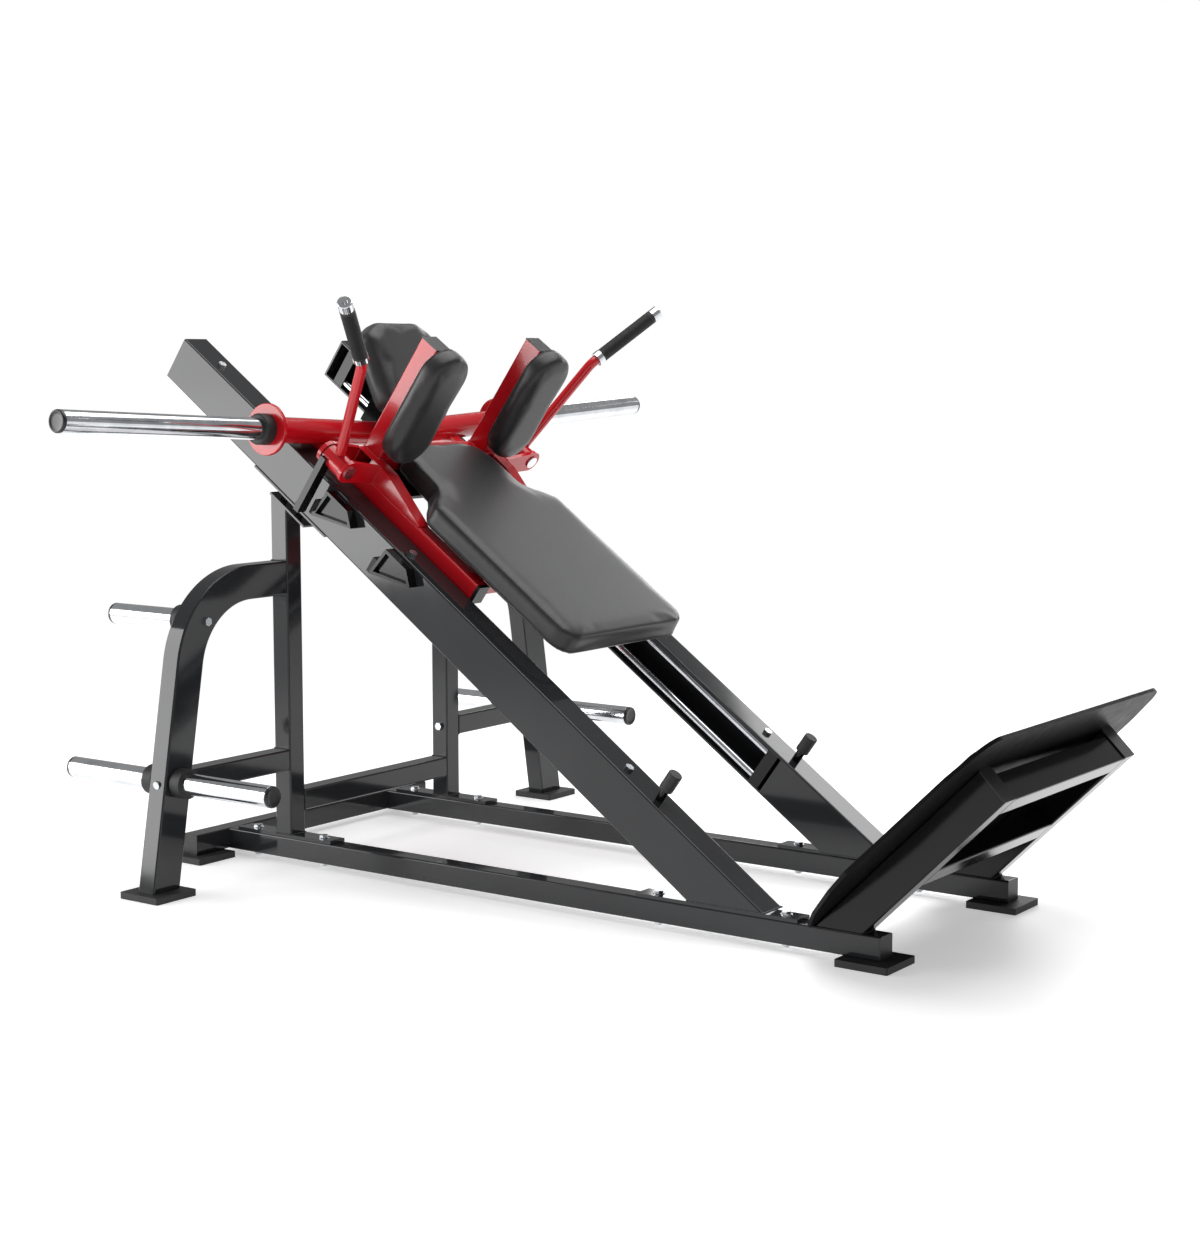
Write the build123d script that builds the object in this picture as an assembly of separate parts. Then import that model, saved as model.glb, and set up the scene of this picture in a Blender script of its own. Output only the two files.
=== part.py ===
from build123d import *
import os
from math import cos, radians, sin, sqrt, tan

# Plate-loaded inclined squat sled. Millimetres, +Z up, +X towards the foot plate, +Y to the user's left.
# Origin: on the floor, midway along the overall length, on the plane of symmetry.
# Pieces are made for the user's left side (+Y) and mirrored to the right.

# ---- overall ----
LENGTH = 2256.0            # rear corner of the inclined beams to the top edge of the foot plate
BEAM_TOP_Z = 1252.0        # height of the inclined beams' upper rear edge
INCLINE = 35.7             # slope of the inclined beams, degrees
FOOT_ANGLE = 45.0          # slope of the foot plate, degrees
CLEAR = 0.3                # gap between soft or moving pieces that pass close by
EDGE_ROUND = 2.0           # eased edges of turned pieces and grips
HOLE_CLEAR = 0.5           # radial clearance of a bolt in its hole
RUN_CLEAR = 0.05           # radial running clearance of a shaft in its bore

# ---- floor frame ----
TUBE = 50.0                # square tube of rails, uprights, struts and braces
WALL = 3.0
TUBE_R = 4.0               # outer corner radius of square and rectangular tubes
PAD_H = 15.0               # rubber floor pads
PAD_W = 120.0
PAD_CORNER_R = 4.0
RAIL_Y = 294.0             # centre of each base rail and upright
RAIL_REAR_X = -946.0
RAIL_FRONT_X = 845.0
REAR_BEAM_HALF = 425.0
REAR_PAD_Y = 393.0
FRONT_PAD_X = 822.0
PLUG_T = 3.0               # plastic plugs that close the tube ends
PLATE_T = 8.0              # welded flange and base plates
RAIL_Z = PAD_H + TUBE      # top face of the base rails

# ---- uprights, legs, braces ----
UPRIGHT_X = -764.0
UPRIGHT_BASE_L = 300.0
UPRIGHT_BOLT_DX = 107.0
BRACE_Z = 151.0            # centre of the cross brace between the uprights
STRUT_Z = 255.0            # centre of the struts to the legs
LEG_DEPTH = 80.0
LEG_TOP_Z = 690.5          # centre line of the leg's level part
LEG_FOOT_Y = 724.0         # centre line where the leg meets its floor pad
LEG_LEAN = 9.9             # lean of the leg's straight part from vertical, degrees
LEG_BEND_R = 200.0
LEG_PAD_Y = 727.0

# ---- inclined beams, in the slope frame: s down the slope, y across, h square to the slope ----
BEAM_W = 75.0
BEAM_H = 110.0
BEAM_WALL = 6.0
BEAM_IN_Y = 244.0          # inner face of each beam
BEAM_END_T = 5.0           # plate that closes the top end
BEAM_CLOSED_UP = 207.0     # the channel is closed to a box this far up from the beam's foot
BEAM_BASE_BACK = 129.0     # base plate behind the beam's foot, and its bolt
BEAM_BOLT_BACK = 86.0
BEAM_BASE_FRONT = 80.5     # base plate in front of the beam's toe, and its bolt
BEAM_BOLT_FRONT = 40.5
BEAM_BOLT_UPPER_S = (111.0, 841.0)
BEAM_BOLT_LOWER_UP = 289.0
BEAM_BOLT_Y = 286.0
SADDLE_BACK = 110.0        # saddle plate and flange, up and down the slope from the upright's centre
SADDLE_FRONT = 160.0
FLANGE_BACK = 34.0
FLANGE_FRONT = 96.0
SADDLE_T = 5.0             # saddle plate under the beam, and flange on the upright
SPACER_H = 17.0            # round spacers between saddle plate and flange
SPACER_R = 9.0
SPACER_DS = (-6.0, 54.0)

# ---- guide rods ----
ROD_R = 10.0
ROD_Y = 258.0
ROD_UPPER_H = -19.0
ROD_LOWER_H = -90.0
ROD_S0 = 40.0
ROD_FOOT_UP = 222.0        # lower ends of the rods, up from the beam's foot
ROD_BLOCK_L = 30.0
ROD_BLOCK_PAST = 5.0       # the end blocks cover the rods' ends by this much

# ---- safety stops and band pegs ----
STOP_S = 575.0             # upslope face of the upper stop
STOP_PITCH = 215.0
STOP_DEPTH = 26.0
STOP_OUTLINE = ((0.0, -82.0), (10.0, -5.0), (84.0, -5.0), (116.0, -32.0))   # s and h of its corners
STOP_POCKET = ((9.0, -70.0), (17.0, -12.0), (80.0, -12.0), (104.0, -31.0))
STOP_PAD_H0 = -80.0
STOP_PAD_H1 = -42.0
STOP_PAD_T = 8.0
STOP_WEB = 15.0            # solid thickness next to the beam; the rest is an open pocket
PEG_UP = 192.0             # up from the beam's foot
PEG_Y = 285.0
PEG_NECK_R = 10.0
PEG_HEAD_R = 16.0
PEG_NECK_H = 28.0
PEG_HEAD_H = 44.0

# ---- foot plate ----
FOOT_BASE_X = 695.0        # where the plate's plane meets the top of the rails
FOOT_TUBE_DEPTH = 80.0
FOOT_TUBE_L = 504.0        # slope length of the side tubes
FOOT_PLATE_T = 8.0
FOOT_HALF_W = 465.0
FOOT_CORNER_R = 60.0
FOOT_LOW_MARGIN = 15.0     # the plate's lower edge stands this far out from the side tubes
FOOT_FLARE = ((62.0, 392.0), (150.0, 442.0))     # slope position and half width where it flares
FOOT_WIDEST_U = 220.0
FOOT_TAPER = (14.0, 48.0)  # each side draws in by this much at the tube's end and at the top edge
FOOT_TOP_TUBE_D = 64.0
FOOT_CROSS_U = 251.0       # slope position of the lower cross tube's centre
MAT_T = 4.0
MAT_L = 420.0
MAT_MARGIN = 45.0          # bare plate at each side of the mat
MAT_SHIFT = 55.0           # the mat sits this far above the plate's middle
MAT_CORNER_R = 20.0
FOOT_BOLT_U = (45.0, 95.0)

# ---- weight storage horns ----
HORN_R = 24.5
HORN_L = 295.0
HORN_UPPER_L = 250.0
HORN_LOW_Z = 257.0
HORN_UP_Z = 612.0
HORN_UP_Y = 584.0
COLLAR_R = 34.0
COLLAR_L = 34.0
COLLAR_ROUND = 8.0
SEAT_STEP = 1.0            # the sleeves are turned down by this where a rubber ring sits
CAP_L = 8.0
CAP_ROUND = 3.0

# ---- carriage ----
SIDE_Y0 = 200.0            # inner face of the carriage side tubes
SIDE_Y1 = 240.0
SIDE_H0 = -15.0
SIDE_H1 = 35.0
SIDE_S0 = 392.0
SIDE_S1 = 1002.0
SIDE_CAP_L = 10.0
SHELF_T = 8.0
BOARD_T = 5.0
BOARD_INSET = 18.0
CROSS_S0 = 537.0           # upper cross tube, under the shoulder posts
CROSS_S1 = 592.0
CROSS_H = 80.0
GUSSET_MID_S = 650.0
GUSSET_S1 = 790.0
GUSSET_DROP = 2.0          # the gusset starts this far below the cross tube's top
GUSSET_TOE = 4.0
GUSSET_T = 35.0
SHELF_S1 = 691.0
SHELF_H0 = 37.0
LOWER_CROSS_S = 985.0
BOARD_SUPPORT_Y = 120.0    # blocks that carry the back pad's board on the lower cross tube
BLOCK_S = (560.0, 900.0)   # start of each bearing block
BLOCK_L = 80.0
BLOCK_W = 30.0
BLOCK_OVER = 6.0           # the block ends this far past each rod's axis
BLOCK_NECK = 30.0          # below this the block stands clear of the side tube
BLOCK_INNER_Y = 246.0

BAR_S = 437.55             # load bar axis on the plane of symmetry
BAR_H = 29.96
BAR_RISE = 3.0             # each half rises outwards, degrees
BAR_R = 30.0
BAR_Y = 423.0
DISC_R = 60.0
DISC_T = 10.0
BUMPER_R = 36.0
BUMPER_L = 30.0
BUMPER_ROUND = 6.0
SLEEVE_R = 25.0
SLEEVE_WALL = 4.0
SLEEVE_END_Y = 1049.0

POST_Y0 = 170.0            # shoulder posts
POST_Y1 = 220.0
POST_TOP_H = 386.0
PAD_SHOULDER_Y = 195.0
PAD_SHOULDER_W = 130.0
PAD_SHOULDER_T = 56.0
PAD_SHOULDER_H0 = 98.0
PAD_SHOULDER_H1 = 402.0

BACK_S0 = 570.0            # back pad
BACK_S1 = 1275.0
BACK_H0 = 50.0
BACK_H1 = 105.0
BACK_HALF_W = 237.0
BACK_WAIST_W = 158.0
BACK_CORNER_R = 45.0
BACK_TOP = ((0.0, 70.0), (14.0, 30.0), (40.0, 8.0), (80.0, 0.0))     # rounding of the narrow top end
BACK_NECK_S1 = 728.0       # the narrow part ends here and flares out over this length
BACK_FLARE_L = 72.0
BACK_FLARE_W = 22.0

HEAD_TILT = 30.3           # the head pad is steeper than the slope by this, degrees
HEAD_MID_S = 412.17        # middle of the head pad's face
HEAD_MID_H = 207.52
HEAD_L = 262.0
HEAD_W = 244.0
HEAD_T = 66.0
HEAD_TOP_CUT = (34.0, 52.0)      # corner cuts of the head pad, along and across
HEAD_LOW_CUT = (50.0, 60.0)
HEAD_PLATE_HALF_W = 60.0
HEAD_PLATE_T = 6.0
CHEEK_OUTLINE = ((360.0, 20.0), (360.0, 190.0), (500.0, 150.0), (500.0, 20.0))    # head pad's two arms
CHEEK_Y = 22.0
CHEEK_T = 8.0

# ---- release handles ----
PIVOT_Y = 343.0
PIVOT_H = 69.0
EAR_R = 28.0
EAR_T = 10.0
EAR_REAR_S = 537.0
EAR_FRONT_S = 612.0
WASHER_T = 2.0
BARREL_R = 25.0
BARREL_GAP = 0.2           # end play beside each washer
PIN_R = 10.0
PIN_HEAD_R = 16.0
PIN_HEAD_L = 4.0
HANDLE_S = 578.0
HANDLE_R = 12.5
HANDLE_BEND = (432.0, 341.0)     # y and h of the handle's bend
HANDLE_TIP = (591.0, 501.0)
HANDLE_BEND_R = 60.0
GRIP_R = 17.0
GRIP_START = 34.0          # along the straight part, from the bend's corner
TIP_COVER = 4.0            # the tip closes the rod's end by this much
FERRULE_R = 18.0
FERRULE_L = 16.0
TIP_L = 24.0
KNOB_R = 6.0
KNOB_L = 5.0
LATCH_S0 = 553.0
LATCH_T = 16.0
LATCH_Y0 = 348.5
LATCH_Y1 = 376.0
LATCH_H0 = -84.0
LATCH_NUT_R = 8.0
LATCH_NUT_L = 6.0
LATCH_NUT_UP = 12.0        # the nut's centre above the arm's foot

# ---- fasteners ----
BOLT_R = 6.0
HEX_R = 10.5               # corner radius of heads and nuts
HEAD_H = 7.0
BUTTON_R = 9.0             # low round heads
BUTTON_H = 4.0
NUT_TAIL = 3.0             # thread that stands past a nut

REAR_X = -LENGTH / 2
SLOPE = (Pos(REAR_X + BEAM_H * sin(radians(INCLINE)), 0, BEAM_TOP_Z) * Rot(0, INCLINE, 0))
FOOT = Pos(FOOT_BASE_X, 0, RAIL_Z) * Rot(0, -FOOT_ANGLE, 0)
FOOT_TOP_U = (LENGTH / 2 - FOOT_BASE_X) / cos(radians(FOOT_ANGLE))
BEAM_OUT_Y = BEAM_IN_Y + BEAM_W
RAIL_OUT_Y = RAIL_Y + TUBE / 2
BASE_Z = RAIL_Z + PLATE_T
FAR = 3000.0               # reach of the blocks that only cut

SIN, COS = sin(radians(INCLINE)), cos(radians(INCLINE))
BEAM_FOOT_S = (BEAM_TOP_Z - BEAM_H * COS - BASE_Z) / SIN      # the beam's underside meets its base plate
BEAM_FOOT_X = REAR_X + BEAM_FOOT_S * COS
BEAM_TOE_X = BEAM_FOOT_X + BEAM_H / SIN                       # the beam's upper face meets it here
BEAM_BOLT_X = (BEAM_FOOT_X - BEAM_BOLT_BACK, BEAM_TOE_X + BEAM_BOLT_FRONT)
ROD_S1 = BEAM_FOOT_S - ROD_FOOT_UP
PEG_S = BEAM_FOOT_S - PEG_UP
FLANGE_H1 = -BEAM_H - SADDLE_T - SPACER_H
FLANGE_H0 = FLANGE_H1 - SADDLE_T
UPRIGHT_S = (UPRIGHT_X - REAR_X - (BEAM_H + FLANGE_H0) * SIN) / COS    # the upright's axis at the flange

parts = {}


def block(x0, x1, y0, y1, z0, z1):
    return Pos((x0 + x1) / 2, (y0 + y1) / 2, (z0 + z1) / 2) * Box(x1 - x0, y1 - y0, z1 - z0)


def rod(r, length, axis):
    """Cylinder from the origin along +X, +Y or +Z."""
    turn = {"x": Rot(0, 90, 0), "y": Rot(-90, 0, 0), "z": Rot(0, 0, 0)}[axis]
    return turn * Cylinder(r, length, align=(Align.CENTER, Align.CENTER, Align.MIN))


def rounded(x0, x1, y0, y1, z0, z1, axis):
    """Block with the tube's corner radius on its edges along the axis."""
    solid = block(x0, x1, y0, y1, z0, z1)
    along = {"x": Axis.X, "y": Axis.Y, "z": Axis.Z}[axis]
    return fillet(solid.edges().filter_by(along), TUBE_R)


def hollow(x0, x1, y0, y1, z0, z1, axis, wall=WALL):
    """Rectangular tube with rounded corners, open at both ends along the axis."""
    grow = {"x": (1, 0, 0), "y": (0, 1, 0), "z": (0, 0, 1)}[axis]
    inner = [(1 if g else -wall) for g in grow]
    return rounded(x0, x1, y0, y1, z0, z1, axis) - block(
        x0 - inner[0], x1 + inner[0], y0 - inner[1], y1 + inner[1], z0 - inner[2], z1 + inner[2])


def prism(points, y0, y1):
    """Outline in the X-Z plane, given thickness along Y."""
    face = make_face(Polyline(*[(x, 0, z) for x, z in points], close=True))
    return Pos(0, y0, 0) * extrude(face, amount=y1 - y0, dir=(0, 1, 0))


def bolt(grip, nut=True):
    """Hex bolt, head upwards, with its head's underside at the origin and its nut at -grip."""
    head = extrude(RegularPolygon(HEX_R, 6), HEAD_H)
    tail = grip + (HEAD_H + NUT_TAIL if nut else 0)
    solid = head + Pos(0, 0, -tail) * rod(BOLT_R, tail, "z")
    if nut:
        solid += Pos(0, 0, -grip - HEAD_H) * extrude(RegularPolygon(HEX_R, 6), HEAD_H)
    return solid


def bolt_hole(grip):
    return Pos(0, 0, -2 * grip) * rod(BOLT_R + HOLE_CLEAR, 3 * grip, "z")


def both(solid):
    """The piece and its mirror image as one group of separate solids."""
    return Compound([*solid.solids(), *mirror(solid, about=Plane.XZ).solids()])


def add_pair(name, solid):
    """Two nodes, one for each side."""
    parts["left_" + name] = solid
    parts["right_" + name] = mirror(solid, about=Plane.XZ)


def add_group(name, solid):
    """One node that holds both sides' solids, added to what the node already has."""
    solids = both(solid).solids()
    if name in parts:
        solids = [*parts[name].solids(), *solids]
    parts[name] = Compound([*solids])


# ---- floor frame ----
up_bolts = [Pos(UPRIGHT_X + dx, RAIL_Y, BASE_Z) for dx in (-UPRIGHT_BOLT_DX, UPRIGHT_BOLT_DX)]
beam_bolts = [Pos(x, RAIL_Y, BASE_Z) for x in BEAM_BOLT_X]
GRIP = TUBE + PLATE_T


def floor_frame():
    rail = hollow(RAIL_REAR_X, RAIL_FRONT_X, RAIL_Y - TUBE / 2, RAIL_OUT_Y, PAD_H, RAIL_Z, "x")
    for at in up_bolts + beam_bolts:
        rail -= at * bolt_hole(GRIP)
    add_group("base_rails", rail)
    plug = rounded(RAIL_FRONT_X, RAIL_FRONT_X + PLUG_T, RAIL_Y - TUBE / 2, RAIL_OUT_Y, PAD_H, RAIL_Z, "x")
    add_group("tube_end_plugs", plug)
    parts["rear_cross_beam"] = hollow(
        RAIL_REAR_X - TUBE, RAIL_REAR_X, -REAR_BEAM_HALF, REAR_BEAM_HALF, PAD_H, RAIL_Z, "y")
    beam_plug = rounded(RAIL_REAR_X - TUBE, RAIL_REAR_X, REAR_BEAM_HALF, REAR_BEAM_HALF + PLUG_T,
                        PAD_H, RAIL_Z, "y")
    add_group("tube_end_plugs", beam_plug)
    for x, y in ((FRONT_PAD_X, RAIL_Y), (RAIL_REAR_X - TUBE / 2, REAR_PAD_Y), (UPRIGHT_X, LEG_PAD_Y)):
        pad = Pos(x, y, PAD_H / 2) * Box(PAD_W, PAD_W, PAD_H)
        add_group("floor_pads", fillet(pad.edges().filter_by(Axis.Z), PAD_CORNER_R))


# ---- uprights, legs and braces ----
def uprights():
    x0, x1 = UPRIGHT_X - TUBE / 2, UPRIGHT_X + TUBE / 2
    y0, y1 = RAIL_Y - TUBE / 2, RAIL_OUT_Y
    above = SLOPE * block(-FAR, FAR, -FAR, FAR, FLANGE_H0, FAR)
    upright = hollow(x0, x1, y0, y1, BASE_Z, BEAM_TOP_Z, "z") - above
    add_group("uprights", upright)
    base = block(UPRIGHT_X - UPRIGHT_BASE_L / 2, UPRIGHT_X + UPRIGHT_BASE_L / 2, y0, y1, RAIL_Z, BASE_Z)
    for at in up_bolts:
        base -= at * bolt_hole(GRIP)
    add_group("base_plates", base)
    flange = block(UPRIGHT_S - FLANGE_BACK, UPRIGHT_S + FLANGE_FRONT, y0, y1, FLANGE_H0, FLANGE_H1)
    add_group("beam_saddle_plates", SLOPE * flange)
    saddle = block(UPRIGHT_S - SADDLE_BACK, UPRIGHT_S + SADDLE_FRONT, y0, y1, -BEAM_H - SADDLE_T, -BEAM_H)
    for ds in SPACER_DS:
        saddle += Pos(UPRIGHT_S + ds, RAIL_Y, FLANGE_H1) * rod(SPACER_R, SPACER_H + 1, "z")
    add_group("beam_saddle_plates", SLOPE * saddle)
    brace = hollow(x0, x1, -y0, y0, BRACE_Z - TUBE / 2, BRACE_Z + TUBE / 2, "y")
    parts["cross_brace"] = brace
    bolts = [at * bolt(GRIP) for at in up_bolts]
    add_group("frame_bolts", Compound([s for b in bolts for s in b.solids()]))


LEAN = tan(radians(LEG_LEAN))
LEG_HALF_Y = LEG_DEPTH / 2 / cos(radians(LEG_LEAN))       # half the leg's width, measured level


def leg_centre(z):
    """Y of the leg's centre line on its straight part."""
    return LEG_FOOT_Y - (z - PAD_H) * LEAN


def legs():
    x = UPRIGHT_X
    corner = leg_centre(LEG_TOP_Z)
    below = LEG_DEPTH          # the path runs on below the pad's top, and the leg is cut level there
    path = FilletPolyline((x, RAIL_OUT_Y, LEG_TOP_Z), (x, corner, LEG_TOP_Z),
                          (x, leg_centre(PAD_H - below), PAD_H - below), radius=LEG_BEND_R)
    at = Plane(origin=path @ 0, x_dir=(1, 0, 0), z_dir=path % 0)
    outer = sweep(at * RectangleRounded(TUBE, LEG_DEPTH, TUBE_R), path=path)
    inner = sweep(at * Rectangle(TUBE - 2 * WALL, LEG_DEPTH - 2 * WALL), path=path)
    floor = block(-FAR, FAR, 0, FAR, -FAR, PAD_H)
    add_pair("leg", outer - inner - floor)
    strut = hollow(x - TUBE / 2, x + TUBE / 2, RAIL_OUT_Y, LEG_FOOT_Y, STRUT_Z - TUBE / 2,
                   STRUT_Z + TUBE / 2, "y") - outer
    strut = strut.solids().sort_by(Axis.Y)[0]
    add_group("leg_struts", strut)
    hexagon = extrude(RegularPolygon(HEX_R, 6), HEAD_H)
    inner_head = Pos(x, RAIL_Y - TUBE / 2, STRUT_Z) * Rot(90, 0, 0) * hexagon
    leg_y = leg_centre(STRUT_Z) + LEG_HALF_Y
    outer_head = Pos(x, leg_y, STRUT_Z) * Rot(-LEG_LEAN, 0, 0) * rod(BUTTON_R, BUTTON_H, "y") - outer
    front_head = Pos(x + TUBE / 2, HORN_UP_Y, HORN_UP_Z) * Rot(0, 90, 0) * hexagon
    heads = Compound([*inner_head.solids(), *outer_head.solids(), *front_head.solids()])
    add_group("frame_bolts", heads)


def horn(x, y, z, way, length):
    """One storage horn along X: collar, sleeve and end cap."""
    turn = Pos(x, y, z) * (Rot(0, 90, 0) if way > 0 else Rot(0, -90, 0))
    low = (Align.CENTER, Align.CENTER, Align.MIN)
    seat_r = HORN_R - SEAT_STEP
    sleeve = Cylinder(seat_r, length - CAP_L, align=low)
    sleeve += Pos(0, 0, COLLAR_L) * Cylinder(HORN_R, length - CAP_L - COLLAR_L, align=low)
    sleeve -= Cylinder(HORN_R - WALL - SEAT_STEP, length - CAP_L, align=low)
    collar = Cylinder(COLLAR_R, COLLAR_L, align=low) - Cylinder(seat_r, COLLAR_L, align=low)
    collar = fillet(collar.edges().filter_by(GeomType.CIRCLE).sort_by(SortBy.RADIUS)[-1:], COLLAR_ROUND)
    cap = Pos(0, 0, length - CAP_L) * Cylinder(HORN_R, CAP_L, align=low)
    cap = fillet(cap.edges().filter_by(GeomType.CIRCLE).sort_by(Axis.Z)[-1:], CAP_ROUND)
    return [turn * piece for piece in (collar, sleeve, cap)]


def storage_horns():
    horn_y = leg_centre(STRUT_Z)
    front, rear = UPRIGHT_X + TUBE / 2, UPRIGHT_X - TUBE / 2
    sets = [horn(front, horn_y, HORN_LOW_Z, 1, HORN_L),
            horn(rear, horn_y, HORN_LOW_Z, -1, HORN_L),
            horn(rear, HORN_UP_Y, HORN_UP_Z, -1, HORN_UPPER_L)]
    for index, kind in enumerate(("storage_horn_collars", "storage_horns", "storage_horn_caps")):
        add_group(kind, Compound([s for pieces in sets for s in pieces[index].solids()]))


# ---- inclined beams, rods, stops ----
def inclined_beams():
    y0, y1 = BEAM_IN_Y, BEAM_OUT_Y
    beam = rounded(BEAM_END_T, FAR, y0, y1, -BEAM_H, 0, "x")
    beam -= block(BEAM_END_T - 1, FAR, y0 + BEAM_WALL, y1 - BEAM_WALL, -BEAM_H + BEAM_WALL, -BEAM_WALL)
    closed_s = BEAM_FOOT_S - BEAM_CLOSED_UP
    beam -= block(BEAM_END_T - 1, closed_s, y0 - 1, y1 - BEAM_WALL, -BEAM_H + BEAM_WALL, -BEAM_WALL)
    bolt_s = (*BEAM_BOLT_UPPER_S, BEAM_FOOT_S - BEAM_BOLT_LOWER_UP)
    for s in bolt_s:
        beam -= Pos(s, BEAM_BOLT_Y, 0) * bolt_hole(BEAM_WALL)
    below = block(-FAR, FAR, -FAR, FAR, -FAR, BASE_Z)
    beam = SLOPE * beam - below
    add_pair("inclined_beam", beam)
    add_group("beam_end_plates", SLOPE * rounded(0, BEAM_END_T, y0, y1, -BEAM_H, 0, "x"))
    base = block(BEAM_FOOT_X - BEAM_BASE_BACK, BEAM_TOE_X + BEAM_BASE_FRONT, RAIL_Y - TUBE / 2, RAIL_OUT_Y,
                 RAIL_Z, BASE_Z)
    for at in beam_bolts:
        base -= at * bolt_hole(GRIP)
    add_group("base_plates", base)
    bolts = [at * bolt(GRIP) for at in beam_bolts]
    bolts += [SLOPE * Pos(s, BEAM_BOLT_Y, 0) * bolt(BEAM_WALL) for s in bolt_s]
    add_group("frame_bolts", Compound([s for b in bolts for s in b.solids()]))


def guide_rods():
    length = ROD_S1 - ROD_S0
    rods = [SLOPE * Pos(ROD_S0, ROD_Y, h) * rod(ROD_R, length, "x") for h in (ROD_UPPER_H, ROD_LOWER_H)]
    add_group("guide_rods", Compound([s for r in rods for s in r.solids()]))
    blocks = []
    for s in (ROD_S0 - ROD_BLOCK_PAST, ROD_S1 + ROD_BLOCK_PAST - ROD_BLOCK_L):
        piece = block(s, s + ROD_BLOCK_L, BEAM_IN_Y + 1, BEAM_OUT_Y - BEAM_WALL,
                      -BEAM_H + BEAM_WALL, -BEAM_WALL)
        for h in (ROD_UPPER_H, ROD_LOWER_H):
            piece -= Pos(ROD_S0, ROD_Y, h) * rod(ROD_R, length, "x")
        blocks.append(SLOPE * piece)
    add_group("rod_end_blocks", Compound([s for b in blocks for s in b.solids()]))


def stops():
    y0 = BEAM_OUT_Y
    y1 = y0 + STOP_DEPTH
    for s in (STOP_S, STOP_S + STOP_PITCH):
        frame = SLOPE * Pos(s + STOP_PAD_T, 0, 0)
        body = prism(STOP_OUTLINE, y0, y1) - prism(STOP_POCKET, y0 + STOP_WEB, y1 + 1)
        add_group("safety_stops", frame * body)
    pads = []
    for s in (STOP_S, STOP_S + STOP_PITCH):
        pad = block(0, 2 * STOP_PAD_T, y0, y1, STOP_PAD_H0, STOP_PAD_H1)
        pad -= Pos(STOP_PAD_T, 0, 0) * prism(STOP_OUTLINE, y0 - 1, y1 + 1)
        pads.append(SLOPE * Pos(s, 0, 0) * pad.solids().sort_by(Axis.X)[0])
    add_group("stop_rubber_pads", Compound([s for p in pads for s in p.solids()]))
    peg = Pos(PEG_S, PEG_Y, 0) * rod(PEG_NECK_R, PEG_NECK_H, "z")
    add_group("band_peg_necks", SLOPE * peg)
    head = fillet(rod(PEG_HEAD_R, PEG_HEAD_H, "z").edges().filter_by(GeomType.CIRCLE), EDGE_ROUND)
    add_group("band_peg_heads", SLOPE * Pos(PEG_S, PEG_Y, PEG_NECK_H) * head)


# ---- foot plate ----
def foot_plate():
    y0, y1 = RAIL_Y - TUBE / 2, RAIL_OUT_Y
    below = block(-FAR, FAR, -FAR, FAR, -FAR, RAIL_Z)
    d = FOOT_TUBE_DEPTH
    side = FOOT * hollow(-2 * d, FOOT_TUBE_L, y0, y1, -d, 0, "x") - below
    add_group("foot_side_tubes", side)
    add_group("tube_end_plugs", FOOT * rounded(FOOT_TUBE_L, FOOT_TUBE_L + PLUG_T, y0, y1, -d, 0, "x"))
    top = hollow(FOOT_TUBE_L - TUBE, FOOT_TUBE_L, -y0, y0, -d, -d + FOOT_TOP_TUBE_D, "y")
    parts["foot_top_tube"] = FOOT * top
    lower = hollow(FOOT_CROSS_U - TUBE / 2, FOOT_CROSS_U + TUBE / 2, -y0, y0, -d, -d + TUBE, "y")
    parts["foot_lower_tube"] = FOOT * lower
    w = FOOT_HALF_W
    edge = [(0, RAIL_OUT_Y + FOOT_LOW_MARGIN), *FOOT_FLARE, (FOOT_WIDEST_U, w),
            (FOOT_TUBE_L, w - FOOT_TAPER[0]), (FOOT_TOP_U, w - FOOT_TAPER[1])]
    outline = Polyline(*edge, *[(u, -y) for u, y in reversed(edge)], close=True)
    face = make_face(outline)
    face = fillet(face.vertices().group_by(Axis.X)[-1], FOOT_CORNER_R)
    parts["foot_plate"] = FOOT * extrude(face, FOOT_PLATE_T)
    mat = Pos(FOOT_TOP_U / 2 + MAT_SHIFT, 0, FOOT_PLATE_T) * Box(MAT_L, 2 * (w - MAT_MARGIN), MAT_T, align=(
        Align.CENTER, Align.CENTER, Align.MIN))
    parts["foot_tread_mat"] = FOOT * fillet(mat.edges().filter_by(Axis.Z), MAT_CORNER_R)
    heads = [FOOT * Pos(u, RAIL_Y, FOOT_PLATE_T) * rod(BUTTON_R, BUTTON_H, "z") for u in FOOT_BOLT_U]
    add_group("frame_bolts", Compound([s for h in heads for s in h.solids()]))


# ---- carriage ----
bar_centre = (SLOPE * Pos(BAR_S, 0, BAR_H)).position
BAR_AT = Pos(bar_centre.X, 0, bar_centre.Z) * Rot(BAR_RISE, 0, 0)


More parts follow.
